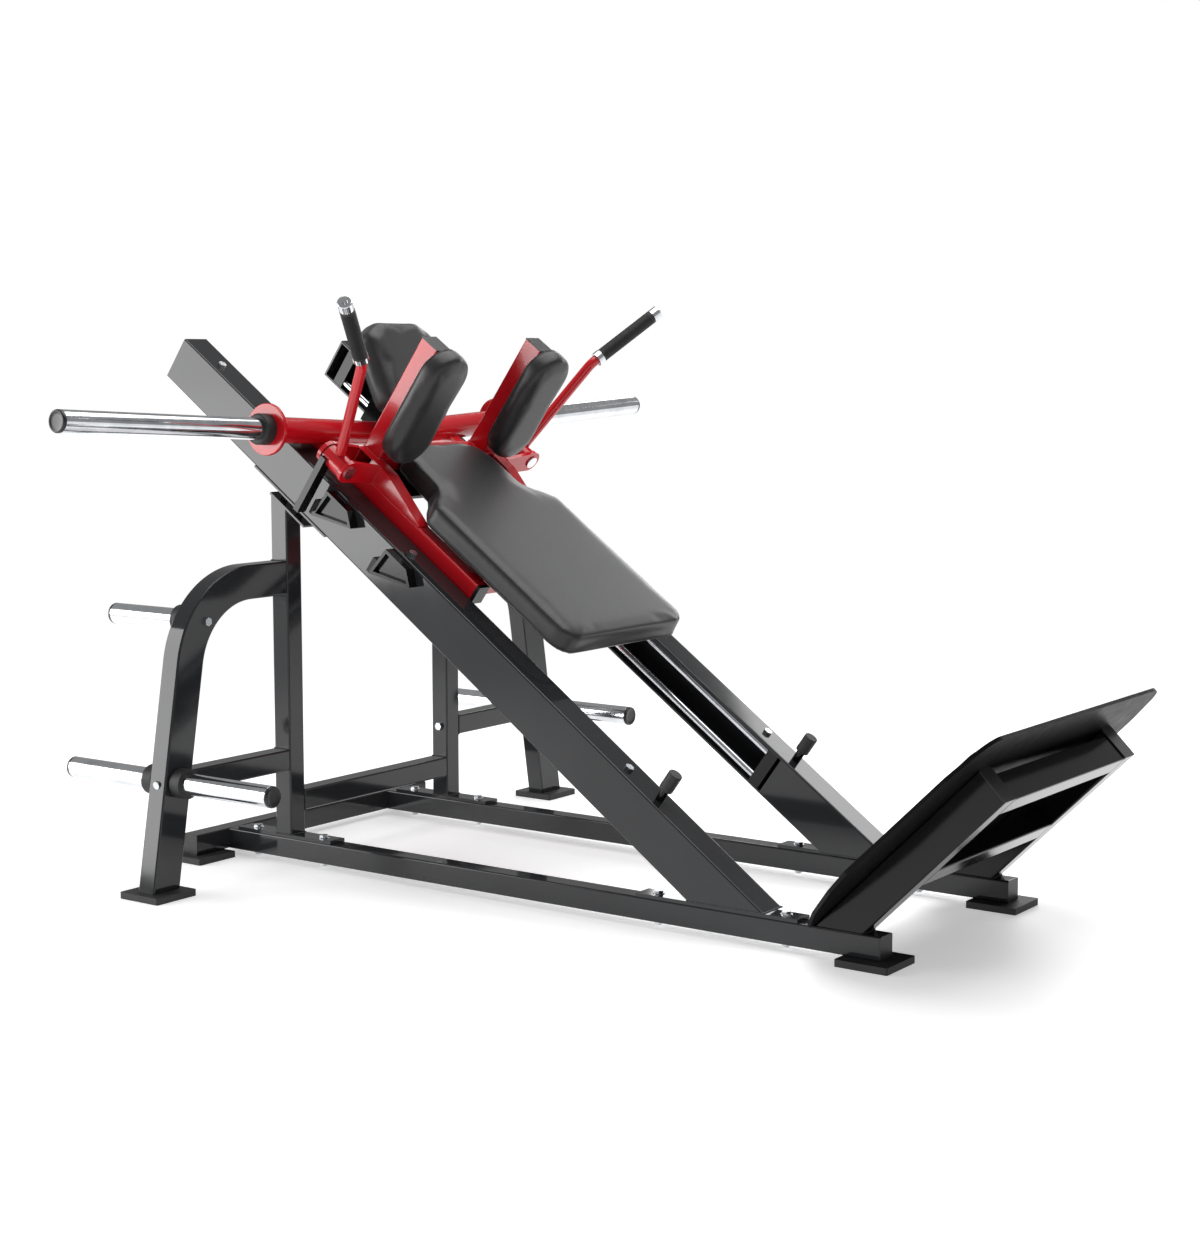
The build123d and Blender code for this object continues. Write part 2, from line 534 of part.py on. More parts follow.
def carriage_frame():
    bar = BAR_AT * rod(BAR_R, BAR_Y, "y") - block(-FAR, FAR, -FAR, 0, -FAR, FAR)
    bar = bar + mirror(bar, about=Plane.XZ)
    side = SLOPE * hollow(SIDE_S0, SIDE_S1, SIDE_Y0, SIDE_Y1, SIDE_H0, SIDE_H1, "x") - bar
    side = side.solids().sort_by(SortBy.VOLUME)[-1]
    add_group("carriage_side_tubes", side)
    parts["load_bar"] = bar
    cap = block(SIDE_S1, SIDE_S1 + SIDE_CAP_L, SIDE_Y0 + WALL, SIDE_Y1, SIDE_H0 + TUBE_R, SIDE_H1)
    add_group("carriage_end_caps", SLOPE * cap)
    cross = hollow(CROSS_S0, CROSS_S1, -SIDE_Y1, SIDE_Y1, SIDE_H1, CROSS_H, "y")
    parts["carriage_cross_tube"] = SLOPE * cross
    outline = [(CROSS_S1, SIDE_H1), (CROSS_S1, CROSS_H), (GUSSET_MID_S, CROSS_H - GUSSET_DROP),
               (GUSSET_S1, SIDE_H1 + GUSSET_TOE), (GUSSET_S1, SIDE_H1)]
    add_group("carriage_gussets", SLOPE * prism(outline, SIDE_Y1 - GUSSET_T, SIDE_Y1))
    shelf_y = SIDE_Y1 - GUSSET_T
    parts["pad_shelf"] = SLOPE * block(CROSS_S1, SHELF_S1, -shelf_y, shelf_y, SHELF_H0, SHELF_H0 + SHELF_T)
    lower = hollow(LOWER_CROSS_S - TUBE, LOWER_CROSS_S, -SIDE_Y0, SIDE_Y0, SIDE_H0, SIDE_H1, "y")
    for y in (-BOARD_SUPPORT_Y, BOARD_SUPPORT_Y):
        lower += block(LOWER_CROSS_S - TUBE, LOWER_CROSS_S, y - TUBE / 2, y + TUBE / 2,
                       SIDE_H1, BACK_H0 - BOARD_T)
    parts["carriage_lower_tube"] = SLOPE * lower
    blocks = []
    for s in BLOCK_S:
        piece = block(s, s + BLOCK_L, SIDE_Y1, SIDE_Y1 + BLOCK_W, ROD_LOWER_H - BLOCK_OVER,
                      ROD_UPPER_H + BLOCK_OVER)
        piece -= block(s - 1, s + BLOCK_L + 1, SIDE_Y1 - 1, BLOCK_INNER_Y, -FAR, SIDE_H0 - BLOCK_NECK)
        for h in (ROD_UPPER_H, ROD_LOWER_H):
            piece -= Pos(0, ROD_Y, h) * rod(ROD_R + RUN_CLEAR, FAR, "x")
        blocks.append(SLOPE * piece.solids().sort_by(SortBy.VOLUME)[-1])
    add_group("bearing_blocks", Compound(blocks))
    board = Pos(0, 0, BACK_H0 - BOARD_T) * extrude(back_outline(-BOARD_INSET), BOARD_T)
    board -= block(0, SHELF_S1, -SIDE_Y1, SIDE_Y1, 0, 2 * BACK_H0)
    parts["back_pad_board"] = SLOPE * board


def load_sleeves():
    run = (SLEEVE_END_Y - BAR_Y) / cos(radians(BAR_RISE)) - DISC_T
    disc = BAR_AT * Pos(0, BAR_Y, 0) * rod(DISC_R, DISC_T, "y")
    disc = fillet(disc.edges().filter_by(GeomType.CIRCLE), EDGE_ROUND)
    add_group("load_flanges", disc)
    at = BAR_AT * Pos(0, BAR_Y + DISC_T, 0)
    seat_r = SLEEVE_R - SEAT_STEP
    sleeve = rod(seat_r, run - CAP_L, "y") + Pos(0, BUMPER_L, 0) * rod(SLEEVE_R, run - CAP_L - BUMPER_L, "y")
    sleeve -= rod(SLEEVE_R - SLEEVE_WALL, run - CAP_L, "y")
    add_group("load_sleeves", at * sleeve)
    bumper = rod(BUMPER_R, BUMPER_L, "y")
    bumper = fillet(bumper.edges().filter_by(GeomType.CIRCLE).sort_by(Axis.Y)[-1:], BUMPER_ROUND)
    add_group("load_bumpers", at * (bumper - rod(seat_r, BUMPER_L, "y")))
    cap = rod(SLEEVE_R, CAP_L, "y")
    cap = fillet(cap.edges().filter_by(GeomType.CIRCLE).sort_by(Axis.Y)[-1:], CAP_ROUND)
    add_group("load_sleeve_caps", at * Pos(0, run - CAP_L, 0) * cap)


def back_outline(grow=0.0):
    """Outline of the back pad in the slope frame: narrow between the shoulders, wide below."""
    w, n = BACK_HALF_W + grow, BACK_WAIST_W + grow
    s0, s1 = BACK_S0 - grow, BACK_S1 + grow
    top = [(s0 + ds, n - dy) for ds, dy in BACK_TOP]
    flare = [(BACK_NECK_S1, n), (BACK_NECK_S1 + BACK_FLARE_L / 3, n + BACK_FLARE_W),
             (BACK_NECK_S1 + BACK_FLARE_L * 2 / 3, w - BACK_FLARE_W), (BACK_NECK_S1 + BACK_FLARE_L, w)]
    edge = [*top, *flare, (s1, w)]
    outline = Polyline(*edge, *[(s, -y) for s, y in reversed(edge)], close=True)
    face = make_face(outline)
    return fillet(face.vertices().group_by(Axis.X)[-1], BACK_CORNER_R)


def pads():
    back = Pos(0, 0, BACK_H0) * extrude(back_outline(), BACK_H1 - BACK_H0)
    back -= block(0, CROSS_S1 + CLEAR, -SIDE_Y1, SIDE_Y1, 0, CROSS_H + CLEAR)
    parts["back_pad"] = SLOPE * back
    mid_h = (PAD_SHOULDER_H0 + PAD_SHOULDER_H1) / 2
    length = PAD_SHOULDER_H1 - PAD_SHOULDER_H0
    face = SlotOverall(length, PAD_SHOULDER_W)
    pad = Pos(CROSS_S1, PAD_SHOULDER_Y, mid_h) * Rot(0, 90, 0) * extrude(face, PAD_SHOULDER_T)
    add_pair("shoulder_pad", SLOPE * pad)
    post = hollow(CROSS_S0, CROSS_S1, POST_Y0, POST_Y1, CROSS_H, POST_TOP_H, "z")
    add_group("shoulder_posts", SLOPE * post)
    post_cap = block(CROSS_S0, CROSS_S1, POST_Y0, POST_Y1, POST_TOP_H, POST_TOP_H + PLUG_T)
    add_group("carriage_end_caps", SLOPE * post_cap)
    at = SLOPE * Pos(HEAD_MID_S, 0, HEAD_MID_H) * Rot(0, HEAD_TILT, 0)
    half = HEAD_L / 2
    w = HEAD_W / 2
    top_l, top_w = HEAD_TOP_CUT
    low_l, low_w = HEAD_LOW_CUT
    edge = [(-half, w - top_w), (-half + top_l, w), (half - low_l, w), (half, w - low_w)]
    face = make_face(Polyline(*edge, *[(u, -y) for u, y in reversed(edge)], close=True))
    parts["head_pad"] = at * Pos(0, 0, -HEAD_T) * extrude(face, HEAD_T)
    plate_w = HEAD_PLATE_HALF_W
    plate_h0 = -HEAD_T - HEAD_PLATE_T
    plate = at * block(-half + low_l, half - low_w, -plate_w, plate_w, plate_h0, -HEAD_T)
    cheek = prism(CHEEK_OUTLINE, CHEEK_Y, CHEEK_Y + CHEEK_T)
    above = at * block(-FAR, FAR, -FAR, FAR, plate_h0, FAR)
    cheek = SLOPE * cheek - [above, BAR_AT * rod(BAR_R, BAR_Y, "y")]
    cheek = cheek.solids().sort_by(SortBy.VOLUME)[-1]
    parts["head_pad_bracket"] = Compound([*plate.solids(), *both(cheek).solids()])


# ---- release handles ----
def handles():
    ear_face = make_face(Polyline((PIVOT_Y, PIVOT_H + EAR_R), (SIDE_Y1, CROSS_H), (SIDE_Y1, SIDE_H1),
                                  (PIVOT_Y, PIVOT_H - EAR_R), close=True))
    ear_face += Pos(PIVOT_Y, PIVOT_H) * Circle(EAR_R)
    ear_face -= Pos(PIVOT_Y, PIVOT_H) * Circle(PIN_R)
    ear = Plane.YZ * extrude(ear_face, EAR_T)
    ears = [Pos(s, 0, 0) * ear for s in (EAR_REAR_S, EAR_FRONT_S)]
    add_group("pivot_ears", SLOPE * Compound([s for e in ears for s in e.solids()]))
    pin = Pos(EAR_REAR_S, PIVOT_Y, PIVOT_H) * rod(PIN_R, EAR_FRONT_S + EAR_T - EAR_REAR_S, "x")
    head = Pos(EAR_FRONT_S + EAR_T, PIVOT_Y, PIVOT_H) * rod(PIN_HEAD_R, PIN_HEAD_L, "x")
    tail = Pos(EAR_REAR_S - PIN_HEAD_L, PIVOT_Y, PIVOT_H) * rod(PIN_HEAD_R, PIN_HEAD_L, "x")
    add_group("pivot_pins", SLOPE * (pin + head + tail))
    s0, s1 = EAR_REAR_S + EAR_T + WASHER_T, EAR_FRONT_S - WASHER_T
    washers = [Pos(s, PIVOT_Y, PIVOT_H) * (rod(BARREL_R, WASHER_T, "x") - rod(PIN_R, WASHER_T, "x"))
               for s in (s0 - WASHER_T, s1)]
    add_group("pivot_washers", SLOPE * Compound([s for w in washers for s in w.solids()]))
    barrel = Pos(s0 + BARREL_GAP, PIVOT_Y, PIVOT_H) * rod(BARREL_R, s1 - s0 - 2 * BARREL_GAP, "x")
    bore = Pos(EAR_REAR_S, PIVOT_Y, PIVOT_H) * rod(PIN_R + RUN_CLEAR, EAR_FRONT_S - EAR_REAR_S, "x")
    path = FilletPolyline((HANDLE_S, PIVOT_Y, PIVOT_H + PIN_R), (HANDLE_S, *HANDLE_BEND),
                          (HANDLE_S, *HANDLE_TIP), radius=HANDLE_BEND_R)
    stem = sweep(Plane(origin=path @ 0, z_dir=path % 0) * Circle(HANDLE_R), path=path)
    stem = stem - barrel - bore
    stem = stem.solids().sort_by(SortBy.VOLUME)[-1]
    add_pair("handle_lever", SLOPE * Compound([*(barrel - bore).solids(), stem]))
    dy, dh = HANDLE_TIP[0] - HANDLE_BEND[0], HANDLE_TIP[1] - HANDLE_BEND[1]
    run = sqrt(dy * dy + dh * dh)
    uy, uh = dy / run, dh / run

    def along(d, r, length):
        at = Plane(origin=(HANDLE_S, HANDLE_BEND[0] + uy * d, HANDLE_BEND[1] + uh * d), z_dir=(0, uy, uh))
        return at * Cylinder(r, length, align=(Align.CENTER, Align.CENTER, Align.MIN))

    grip = along(GRIP_START, GRIP_R, run - GRIP_START - TIP_L + TIP_COVER)
    grip = fillet(grip.edges().filter_by(GeomType.CIRCLE), EDGE_ROUND) - along(GRIP_START, HANDLE_R, run)
    add_pair("handle_grip", SLOPE * grip)
    ferrule = along(GRIP_START - FERRULE_L, FERRULE_R, FERRULE_L) - along(0, HANDLE_R, run)
    tip = along(run - TIP_L + TIP_COVER, GRIP_R, TIP_L) - along(0, HANDLE_R, run)
    tip = fillet(tip.edges().filter_by(GeomType.CIRCLE).sort_by(Axis.Z)[-1:], CAP_ROUND)
    tip += along(run + TIP_COVER, KNOB_R, KNOB_L)
    rings = Compound([*ferrule.solids(), *tip.solids()])
    add_pair("handle_ferrules", SLOPE * rings)
    latch = block(LATCH_S0, LATCH_S0 + LATCH_T, LATCH_Y0, LATCH_Y1, LATCH_H0, PIVOT_H)
    latch = latch - barrel - bore
    latch = latch.solids().sort_by(SortBy.VOLUME)[-1]
    nut = Pos(LATCH_S0 - LATCH_NUT_L, (LATCH_Y0 + LATCH_Y1) / 2, LATCH_H0 + LATCH_NUT_UP) * extrude(
        Plane.YZ * RegularPolygon(LATCH_NUT_R, 6), LATCH_NUT_L)
    add_pair("handle_latch", SLOPE * Compound([latch, *nut.solids()]))


floor_frame()
uprights()
legs()
storage_horns()
inclined_beams()
guide_rods()
stops()
foot_plate()
carriage_frame()
load_sleeves()
pads()
handles()

os.makedirs("parts", exist_ok=True)
for name, solid in parts.items():
    export_step(solid, "parts/" + name + ".step")
print(len(parts), "nodes")
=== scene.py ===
import math

import bmesh
import bpy
from mathutils import Matrix, Vector


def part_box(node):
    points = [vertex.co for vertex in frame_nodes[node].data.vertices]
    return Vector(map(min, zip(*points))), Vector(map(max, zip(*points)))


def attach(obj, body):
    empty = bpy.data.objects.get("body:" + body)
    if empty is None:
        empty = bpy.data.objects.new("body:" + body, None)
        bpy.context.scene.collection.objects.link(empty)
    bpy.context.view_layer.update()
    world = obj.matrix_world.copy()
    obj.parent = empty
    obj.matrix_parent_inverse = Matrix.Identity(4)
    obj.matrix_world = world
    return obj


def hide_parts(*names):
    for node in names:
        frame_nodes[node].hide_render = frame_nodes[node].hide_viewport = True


# Looks of a plate-loaded inclined squat sled: upholstery, powder coat, chrome, rubber and small trim.
# Metres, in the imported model's own frame. Lengths with _MM in their name are millimetres.

MM = 0.001

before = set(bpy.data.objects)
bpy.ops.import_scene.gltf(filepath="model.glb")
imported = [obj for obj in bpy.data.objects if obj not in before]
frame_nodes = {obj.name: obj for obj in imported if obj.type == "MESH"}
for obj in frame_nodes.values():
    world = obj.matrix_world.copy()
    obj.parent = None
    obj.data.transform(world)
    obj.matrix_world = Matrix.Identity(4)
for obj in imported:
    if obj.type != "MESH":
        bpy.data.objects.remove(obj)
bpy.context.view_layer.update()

# ---- places, from the frame ----
INCLINE = math.radians(35.7)
FOOT_SLOPE = math.radians(45.0)
BEAM_DEPTH = 110 * MM
end_low, end_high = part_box("beam_end_plates")
beam_top = Vector((end_low.x + BEAM_DEPTH * math.sin(INCLINE), 0, end_high.z))
SLOPE = Matrix.Translation(beam_top) @ Matrix.Rotation(INCLINE, 4, "Y")
DOWN_SLOPE = SLOPE.to_3x3() @ Vector((1, 0, 0))
SIDES = ((1, "left"), (-1, "right"))


def slope_point(s_mm, y_mm, h_mm):
    """A point s down the slope, y across and h square to the slope."""
    return SLOPE @ Vector((s_mm * MM, y_mm * MM, h_mm * MM))


# ---- node trees ----
def linear(hex_colour, alpha=1.0):
    """sRGB hex to the linear colour that a shader socket takes."""
    parts = [int(hex_colour[i:i + 2], 16) / 255 for i in (0, 2, 4)]
    return [c / 12.92 if c <= 0.04045 else ((c + 0.055) / 1.055) ** 2.4 for c in parts] + [alpha]


def add(tree, kind, inputs=None, **settings):
    """Adds a node with its settings, and gives each named input a value or a link."""
    made = tree.nodes.new(kind)
    for name, value in settings.items():
        setattr(made, name, value)
    for name, value in (inputs or {}).items():
        if isinstance(value, bpy.types.NodeSocket):
            tree.links.new(value, made.inputs[name])
        else:
            made.inputs[name].default_value = value
    return made


def start_material(name):
    material = bpy.data.materials.new(name)
    material.use_nodes = True
    tree = material.node_tree
    tree.nodes.clear()
    place = add(tree, "ShaderNodeTexCoord").outputs["Object"]
    return material, tree, place


def end_material(tree, shader):
    add(tree, "ShaderNodeOutputMaterial", {"Surface": shader.outputs["BSDF"]})


def two_tone(tree, factor, low, high):
    """A colour that goes from one hex value to another."""
    ramp = add(tree, "ShaderNodeValToRGB", {"Fac": factor})
    ramp.color_ramp.elements[0].position = 0.3
    ramp.color_ramp.elements[1].position = 0.7
    ramp.color_ramp.elements[0].color = linear(low)
    ramp.color_ramp.elements[1].color = linear(high)
    return ramp.outputs["Color"]


def spread(tree, value, low, high):
    """Stretches a 0 to 1 value over a range."""
    inputs = {"Value": value, "To Min": low, "To Max": high}
    return add(tree, "ShaderNodeMapRange", inputs).outputs["Result"]


def powder_coat(name, low, high, roughness, ior, coat):
    """Gloss polyester powder on steel tube: deep clear gloss, with the faint orange peel of cured powder."""
    material, tree, place = start_material(name)
    cloud = add(tree, "ShaderNodeTexNoise", {"Vector": place, "Scale": 1 / 0.22, "Detail": 3})
    peel = add(tree, "ShaderNodeTexNoise", {"Vector": place, "Scale": 1 / 0.0035, "Detail": 1})
    dust = add(tree, "ShaderNodeTexNoise", {"Vector": place, "Scale": 1 / 0.035, "Detail": 5})
    bump = add(tree, "ShaderNodeBump", {"Height": peel.outputs["Fac"], "Strength": 0.02, "Distance": 0.0002})
    shader = add(tree, "ShaderNodeBsdfPrincipled", {
        "Base Color": two_tone(tree, cloud.outputs["Fac"], low, high),
        "Roughness": spread(tree, dust.outputs["Fac"], roughness * 0.75, roughness * 1.3),
        "IOR": ior, "Coat Weight": coat, "Coat Roughness": 0.05,
        "Normal": bump.outputs["Normal"]})
    end_material(tree, shader)
    return material


def chrome_plate(name, tone, roughness):
    """Hard chrome over ground tube: bright, with hair-fine turning marks and a few hand smudges."""
    material, tree, place = start_material(name)
    marks = add(tree, "ShaderNodeMapping", {"Vector": place, "Scale": (1 / 0.0012, 1 / 0.02, 1 / 0.0012)})
    fine = add(tree, "ShaderNodeTexNoise", {"Vector": marks.outputs["Vector"], "Scale": 1.0, "Detail": 2})
    smudge = add(tree, "ShaderNodeTexNoise", {"Vector": place, "Scale": 1 / 0.05, "Detail": 6})
    bump = add(tree, "ShaderNodeBump", {"Height": fine.outputs["Fac"], "Strength": 0.03, "Distance": 0.0002})
    shader = add(tree, "ShaderNodeBsdfPrincipled", {
        "Base Color": two_tone(tree, smudge.outputs["Fac"], tone, "e9ebee"),
        "Metallic": 1.0,
        "Roughness": spread(tree, smudge.outputs["Fac"], roughness * 0.6, roughness * 1.6),
        "Normal": bump.outputs["Normal"]})
    end_material(tree, shader)
    return material


def vinyl(name):
    """Smooth upholstery vinyl over foam: a soft satin sheen, with a fine leather grain pressed into it."""
    material, tree, place = start_material(name)
    grain = add(tree, "ShaderNodeTexVoronoi", {"Vector": place, "Scale": 1 / 0.0016},
                feature="DISTANCE_TO_EDGE")
    crease = add(tree, "ShaderNodeTexNoise", {"Vector": place, "Scale": 1 / 0.006, "Detail": 4})
    cloud = add(tree, "ShaderNodeTexNoise", {"Vector": place, "Scale": 1 / 0.12, "Detail": 3})
    height = add(tree, "ShaderNodeMath", {0: grain.outputs["Distance"], 1: crease.outputs["Fac"]},
                 operation="ADD")
    bump = add(tree, "ShaderNodeBump", {"Height": height.outputs["Value"], "Strength": 0.12,
                                        "Distance": 0.0003})
    shader = add(tree, "ShaderNodeBsdfPrincipled", {
        "Base Color": two_tone(tree, cloud.outputs["Fac"], "1d1d1f", "232325"),
        "Roughness": spread(tree, crease.outputs["Fac"], 0.34, 0.46),
        "IOR": 1.5, "Sheen Weight": 0.08, "Sheen Roughness": 0.4,
        "Normal": bump.outputs["Normal"]})
    end_material(tree, shader)
    return material


def rubber(name, tone, grain_mm):
    """Moulded black rubber: matt, with the texture of a blasted mould."""
    material, tree, place = start_material(name)
    grit = add(tree, "ShaderNodeTexNoise", {"Vector": place, "Scale": 1 / (grain_mm * MM), "Detail": 4})
    bloom = add(tree, "ShaderNodeTexNoise", {"Vector": place, "Scale": 1 / 0.04, "Detail": 4})
    bump = add(tree, "ShaderNodeBump", {"Height": grit.outputs["Fac"], "Strength": 0.25, "Distance": 0.0004})
    shader = add(tree, "ShaderNodeBsdfPrincipled", {
        "Base Color": two_tone(tree, bloom.outputs["Fac"], tone, "1e1e1f"),
        "Roughness": spread(tree, grit.outputs["Fac"], 0.5, 0.68),
        "IOR": 1.52, "Normal": bump.outputs["Normal"]})
    end_material(tree, shader)
    return material


def moulded_plastic(name, tone, high, roughness):
    """Injection-moulded nylon or polypropylene: an even satin skin with a faint spark-eroded grain."""
    material, tree, place = start_material(name)
    grain = add(tree, "ShaderNodeTexNoise", {"Vector": place, "Scale": 1 / 0.0009, "Detail": 2})
    flow = add(tree, "ShaderNodeTexNoise", {"Vector": place, "Scale": 1 / 0.03, "Detail": 2})
    bump = add(tree, "ShaderNodeBump", {"Height": grain.outputs["Fac"], "Strength": 0.12,
                                        "Distance": 0.0002})
    shader = add(tree, "ShaderNodeBsdfPrincipled", {
        "Base Color": two_tone(tree, flow.outputs["Fac"], tone, high),
        "Roughness": spread(tree, flow.outputs["Fac"], roughness * 0.85, roughness * 1.15),
        "IOR": 1.5, "Normal": bump.outputs["Normal"]})
    end_material(tree, shader)
    return material


GRAPHITE = powder_coat("graphite_powder_coat", "242527", "292a2c", 0.07, 1.46, 0.0)
BLACK = powder_coat("gloss_black_powder_coat", "0b0b0c", "0f0f10", 0.12, 1.36, 0.0)
SATIN_BLACK = powder_coat("satin_black_powder_coat", "0b0b0c", "0f0f10", 0.4, 1.16, 0.0)
RED = powder_coat("gloss_red_powder_coat", "b90d1a", "c8121f", 0.18, 1.48, 0.25)
CHROME = chrome_plate("hard_chrome_plate", "cfd2d6", 0.1)
ZINC = chrome_plate("bright_zinc_plate", "a9adb3", 0.24)
VINYL = vinyl("black_upholstery_vinyl")
RUBBER = rubber("moulded_black_rubber", "131314", 0.9)
GRIP_RUBBER = rubber("ribbed_grip_rubber", "161617", 0.6)
CAP_PLASTIC = moulded_plastic("black_cap_nylon", "101011", "161617", 0.34)
THREAD = moulded_plastic("bonded_nylon_thread", "1b1b1c", "2a2a2c", 0.5)

NODE_FINISH = {
    GRAPHITE: ("base_rails", "rear_cross_beam", "uprights", "cross_brace", "left_leg", "right_leg",
               "leg_struts", "left_inclined_beam", "right_inclined_beam", "beam_end_plates",
               "base_plates", "beam_saddle_plates"),
    SATIN_BLACK: ("foot_plate",),
    BLACK: ("foot_side_tubes", "foot_top_tube", "foot_lower_tube", "safety_stops",
            "pad_shelf", "head_pad_bracket", "rod_end_blocks", "band_peg_necks", "left_handle_latch",
            "right_handle_latch"),
    RED: ("carriage_side_tubes", "carriage_cross_tube", "carriage_gussets", "carriage_lower_tube",
          "load_bar", "load_flanges", "shoulder_posts", "pivot_ears", "bearing_blocks",
          "left_handle_lever", "right_handle_lever"),
    CHROME: ("load_sleeves", "storage_horns", "guide_rods", "left_handle_ferrules",
             "right_handle_ferrules"),
    ZINC: ("frame_bolts", "pivot_pins"),
    RUBBER: ("floor_pads", "load_bumpers", "storage_horn_collars", "stop_rubber_pads",
             "band_peg_heads", "foot_tread_mat", "left_handle_grip", "right_handle_grip"),
    CAP_PLASTIC: ("tube_end_plugs", "storage_horn_caps", "load_sleeve_caps", "carriage_end_caps",
                  "pivot_washers", "back_pad_board", "back_pad", "left_shoulder_pad",
                  "right_shoulder_pad", "head_pad"),
}


def finish_cad_nodes():
    for material, names in NODE_FINISH.items():
        for name in names:
            data = frame_nodes[name].data
            data.materials.clear()
            data.materials.append(material)


# ---- meshes ----
def new_object(name, mesh, material=None):
    piece = bpy.data.objects.new(name, mesh)
    bpy.context.scene.collection.objects.link(piece)
    if material:
        mesh.materials.clear()
        mesh.materials.append(material)
    return piece


def mesh_from(bm, name):
    mesh = bpy.data.meshes.new(name)
    bm.to_mesh(mesh)
    bm.free()
    return mesh


def smooth(piece, angle=35):
    """Smooth shading, with edges sharper than the angle kept crisp."""
    mesh = piece.data
    mesh.shade_smooth()
    mesh.set_sharp_from_angle(angle=math.radians(angle))


def bake_modifiers(piece):
    """Turns the piece with its modifiers into a plain mesh."""
    view = bpy.context.evaluated_depsgraph_get()
    made = bpy.data.meshes.new_from_object(piece.evaluated_get(view))
    old = piece.data
    piece.modifiers.clear()
    piece.data = made
    bpy.data.meshes.remove(old)


# ---- padded upholstery ----
PADS = {
    "back_pad": {"out": (0, 0, 1), "round": 12, "voxel": 6, "cap": 4},
    "left_shoulder_pad": {"out": (1, 0, 0), "round": 16, "voxel": 5, "cap": 3},
    "right_shoulder_pad": {"out": (1, 0, 0), "round": 16, "voxel": 5, "cap": 3},
    "head_pad": {"out": None, "round": 17, "voxel": 5, "cap": 3},
}
HEAD_SLOPE = math.radians(66.0)
BLANK_RELAX_STEPS = 4
RELAX_STEPS = 14
CLOTH_STEPS = 20
COVER_PRESSURE = 4.0
BOARD_HOLD_MM = 6          # the cover is held to the board this far up from its back
SEAM_FROM_BACK_MM = 9.0
SEAM_STEP_MM = 6
WELT_R_MM = 1.5
STITCH_STEP_MM = 4
STITCHES_FROM_WELT_MM = 4.5
STITCH_PITCH_MM = 5.5
STITCH_LENGTH_MM = 3.6
THREAD_R_MM = 0.5


def pad_blank(node, round_mm):
    """The pad's foam as cut: the frame's solid with its sharp edges rounded."""
    bm = bmesh.new()
    bm.from_mesh(frame_nodes[node].data)
    bmesh.ops.remove_doubles(bm, verts=bm.verts, dist=0.00005)
    bmesh.ops.dissolve_limit(bm, angle_limit=math.radians(1.0), verts=bm.verts, edges=bm.edges)
    sharp = [e for e in bm.edges if len(e.link_faces) == 2 and e.calc_face_angle() > math.radians(50)]
    bmesh.ops.bevel(bm, geom=sharp, offset=round_mm * MM, segments=4, affect="EDGES", profile=0.5,
                    clamp_overlap=True)
    bmesh.ops.recalc_face_normals(bm, faces=bm.faces)
    return mesh_from(bm, node + "_blank")


def relax(piece, steps):
    modifier = piece.modifiers.new("relax", "SMOOTH")
    modifier.factor = 0.5
    modifier.iterations = steps


def stuff(piece, voxel_mm, cap_mm, out):
    """Blows the cover up over its foam, then holds each point to within the cap of where it began."""
    remesh = piece.modifiers.new("remesh", "REMESH")
    remesh.mode = "VOXEL"
    remesh.voxel_size = voxel_mm * MM
    relax(piece, BLANK_RELAX_STEPS)
    bake_modifiers(piece)
    start = [v.co.copy() for v in piece.data.vertices]
    held = piece.vertex_groups.new(name="board")
    back = min(v.co.dot(out) for v in piece.data.vertices)
    fixed = [v.index for v in piece.data.vertices if v.co.dot(out) < back + BOARD_HOLD_MM * MM]
    held.add(fixed, 1.0, "REPLACE")
    cloth = piece.modifiers.new("cloth", "CLOTH")
    cloth.settings.effector_weights.gravity = 0
    cloth.settings.use_pressure = True
    cloth.settings.uniform_pressure_force = COVER_PRESSURE
    cloth.settings.tension_stiffness = 25
    cloth.settings.compression_stiffness = 25
    cloth.settings.bending_stiffness = 2.0
    cloth.settings.vertex_group_mass = "board"
    cloth.point_cache.frame_end = CLOTH_STEPS
    for step in range(1, CLOTH_STEPS + 1):
        bpy.context.scene.frame_set(step)
    bake_modifiers(piece)
    bpy.context.scene.frame_set(1)
    cap = cap_mm * MM
    for vertex, began in zip(piece.data.vertices, start):
        move = vertex.co - began
        if move.length > cap:
            vertex.co = began + move.normalized() * cap
    relax(piece, RELAX_STEPS)
    finer = piece.modifiers.new("finer", "SUBSURF")
    finer.levels = 1
    finer.render_levels = 1
    bake_modifiers(piece)
    piece.data.shade_smooth()


def section(piece, point, normal):
    """The closed loop where a plane cuts a piece, as points in order, longest loop only."""
    bm = bmesh.new()
    bm.from_mesh(piece.data)
    cut = bmesh.ops.bisect_plane(bm, geom=bm.verts[:] + bm.edges[:] + bm.faces[:], plane_co=point,
                                 plane_no=normal, dist=1e-6)["geom_cut"]
    edges = [e for e in cut if isinstance(e, bmesh.types.BMEdge)]
    near = {}
    for edge in edges:
        a, b = edge.verts
        near.setdefault(a, []).append(b)
        near.setdefault(b, []).append(a)
    loops, seen = [], set()
    for first in near:
        if first in seen:
            continue
        loop, here, last = [first], first, None
        seen.add(first)
        while True:
            onward = [v for v in near[here] if v is not last and v not in seen]
            if not onward:
                break
            last, here = here, onward[0]
            seen.add(here)
            loop.append(here)
        loops.append([v.co.copy() for v in loop])
    bm.free()
    return max(loops, key=len)


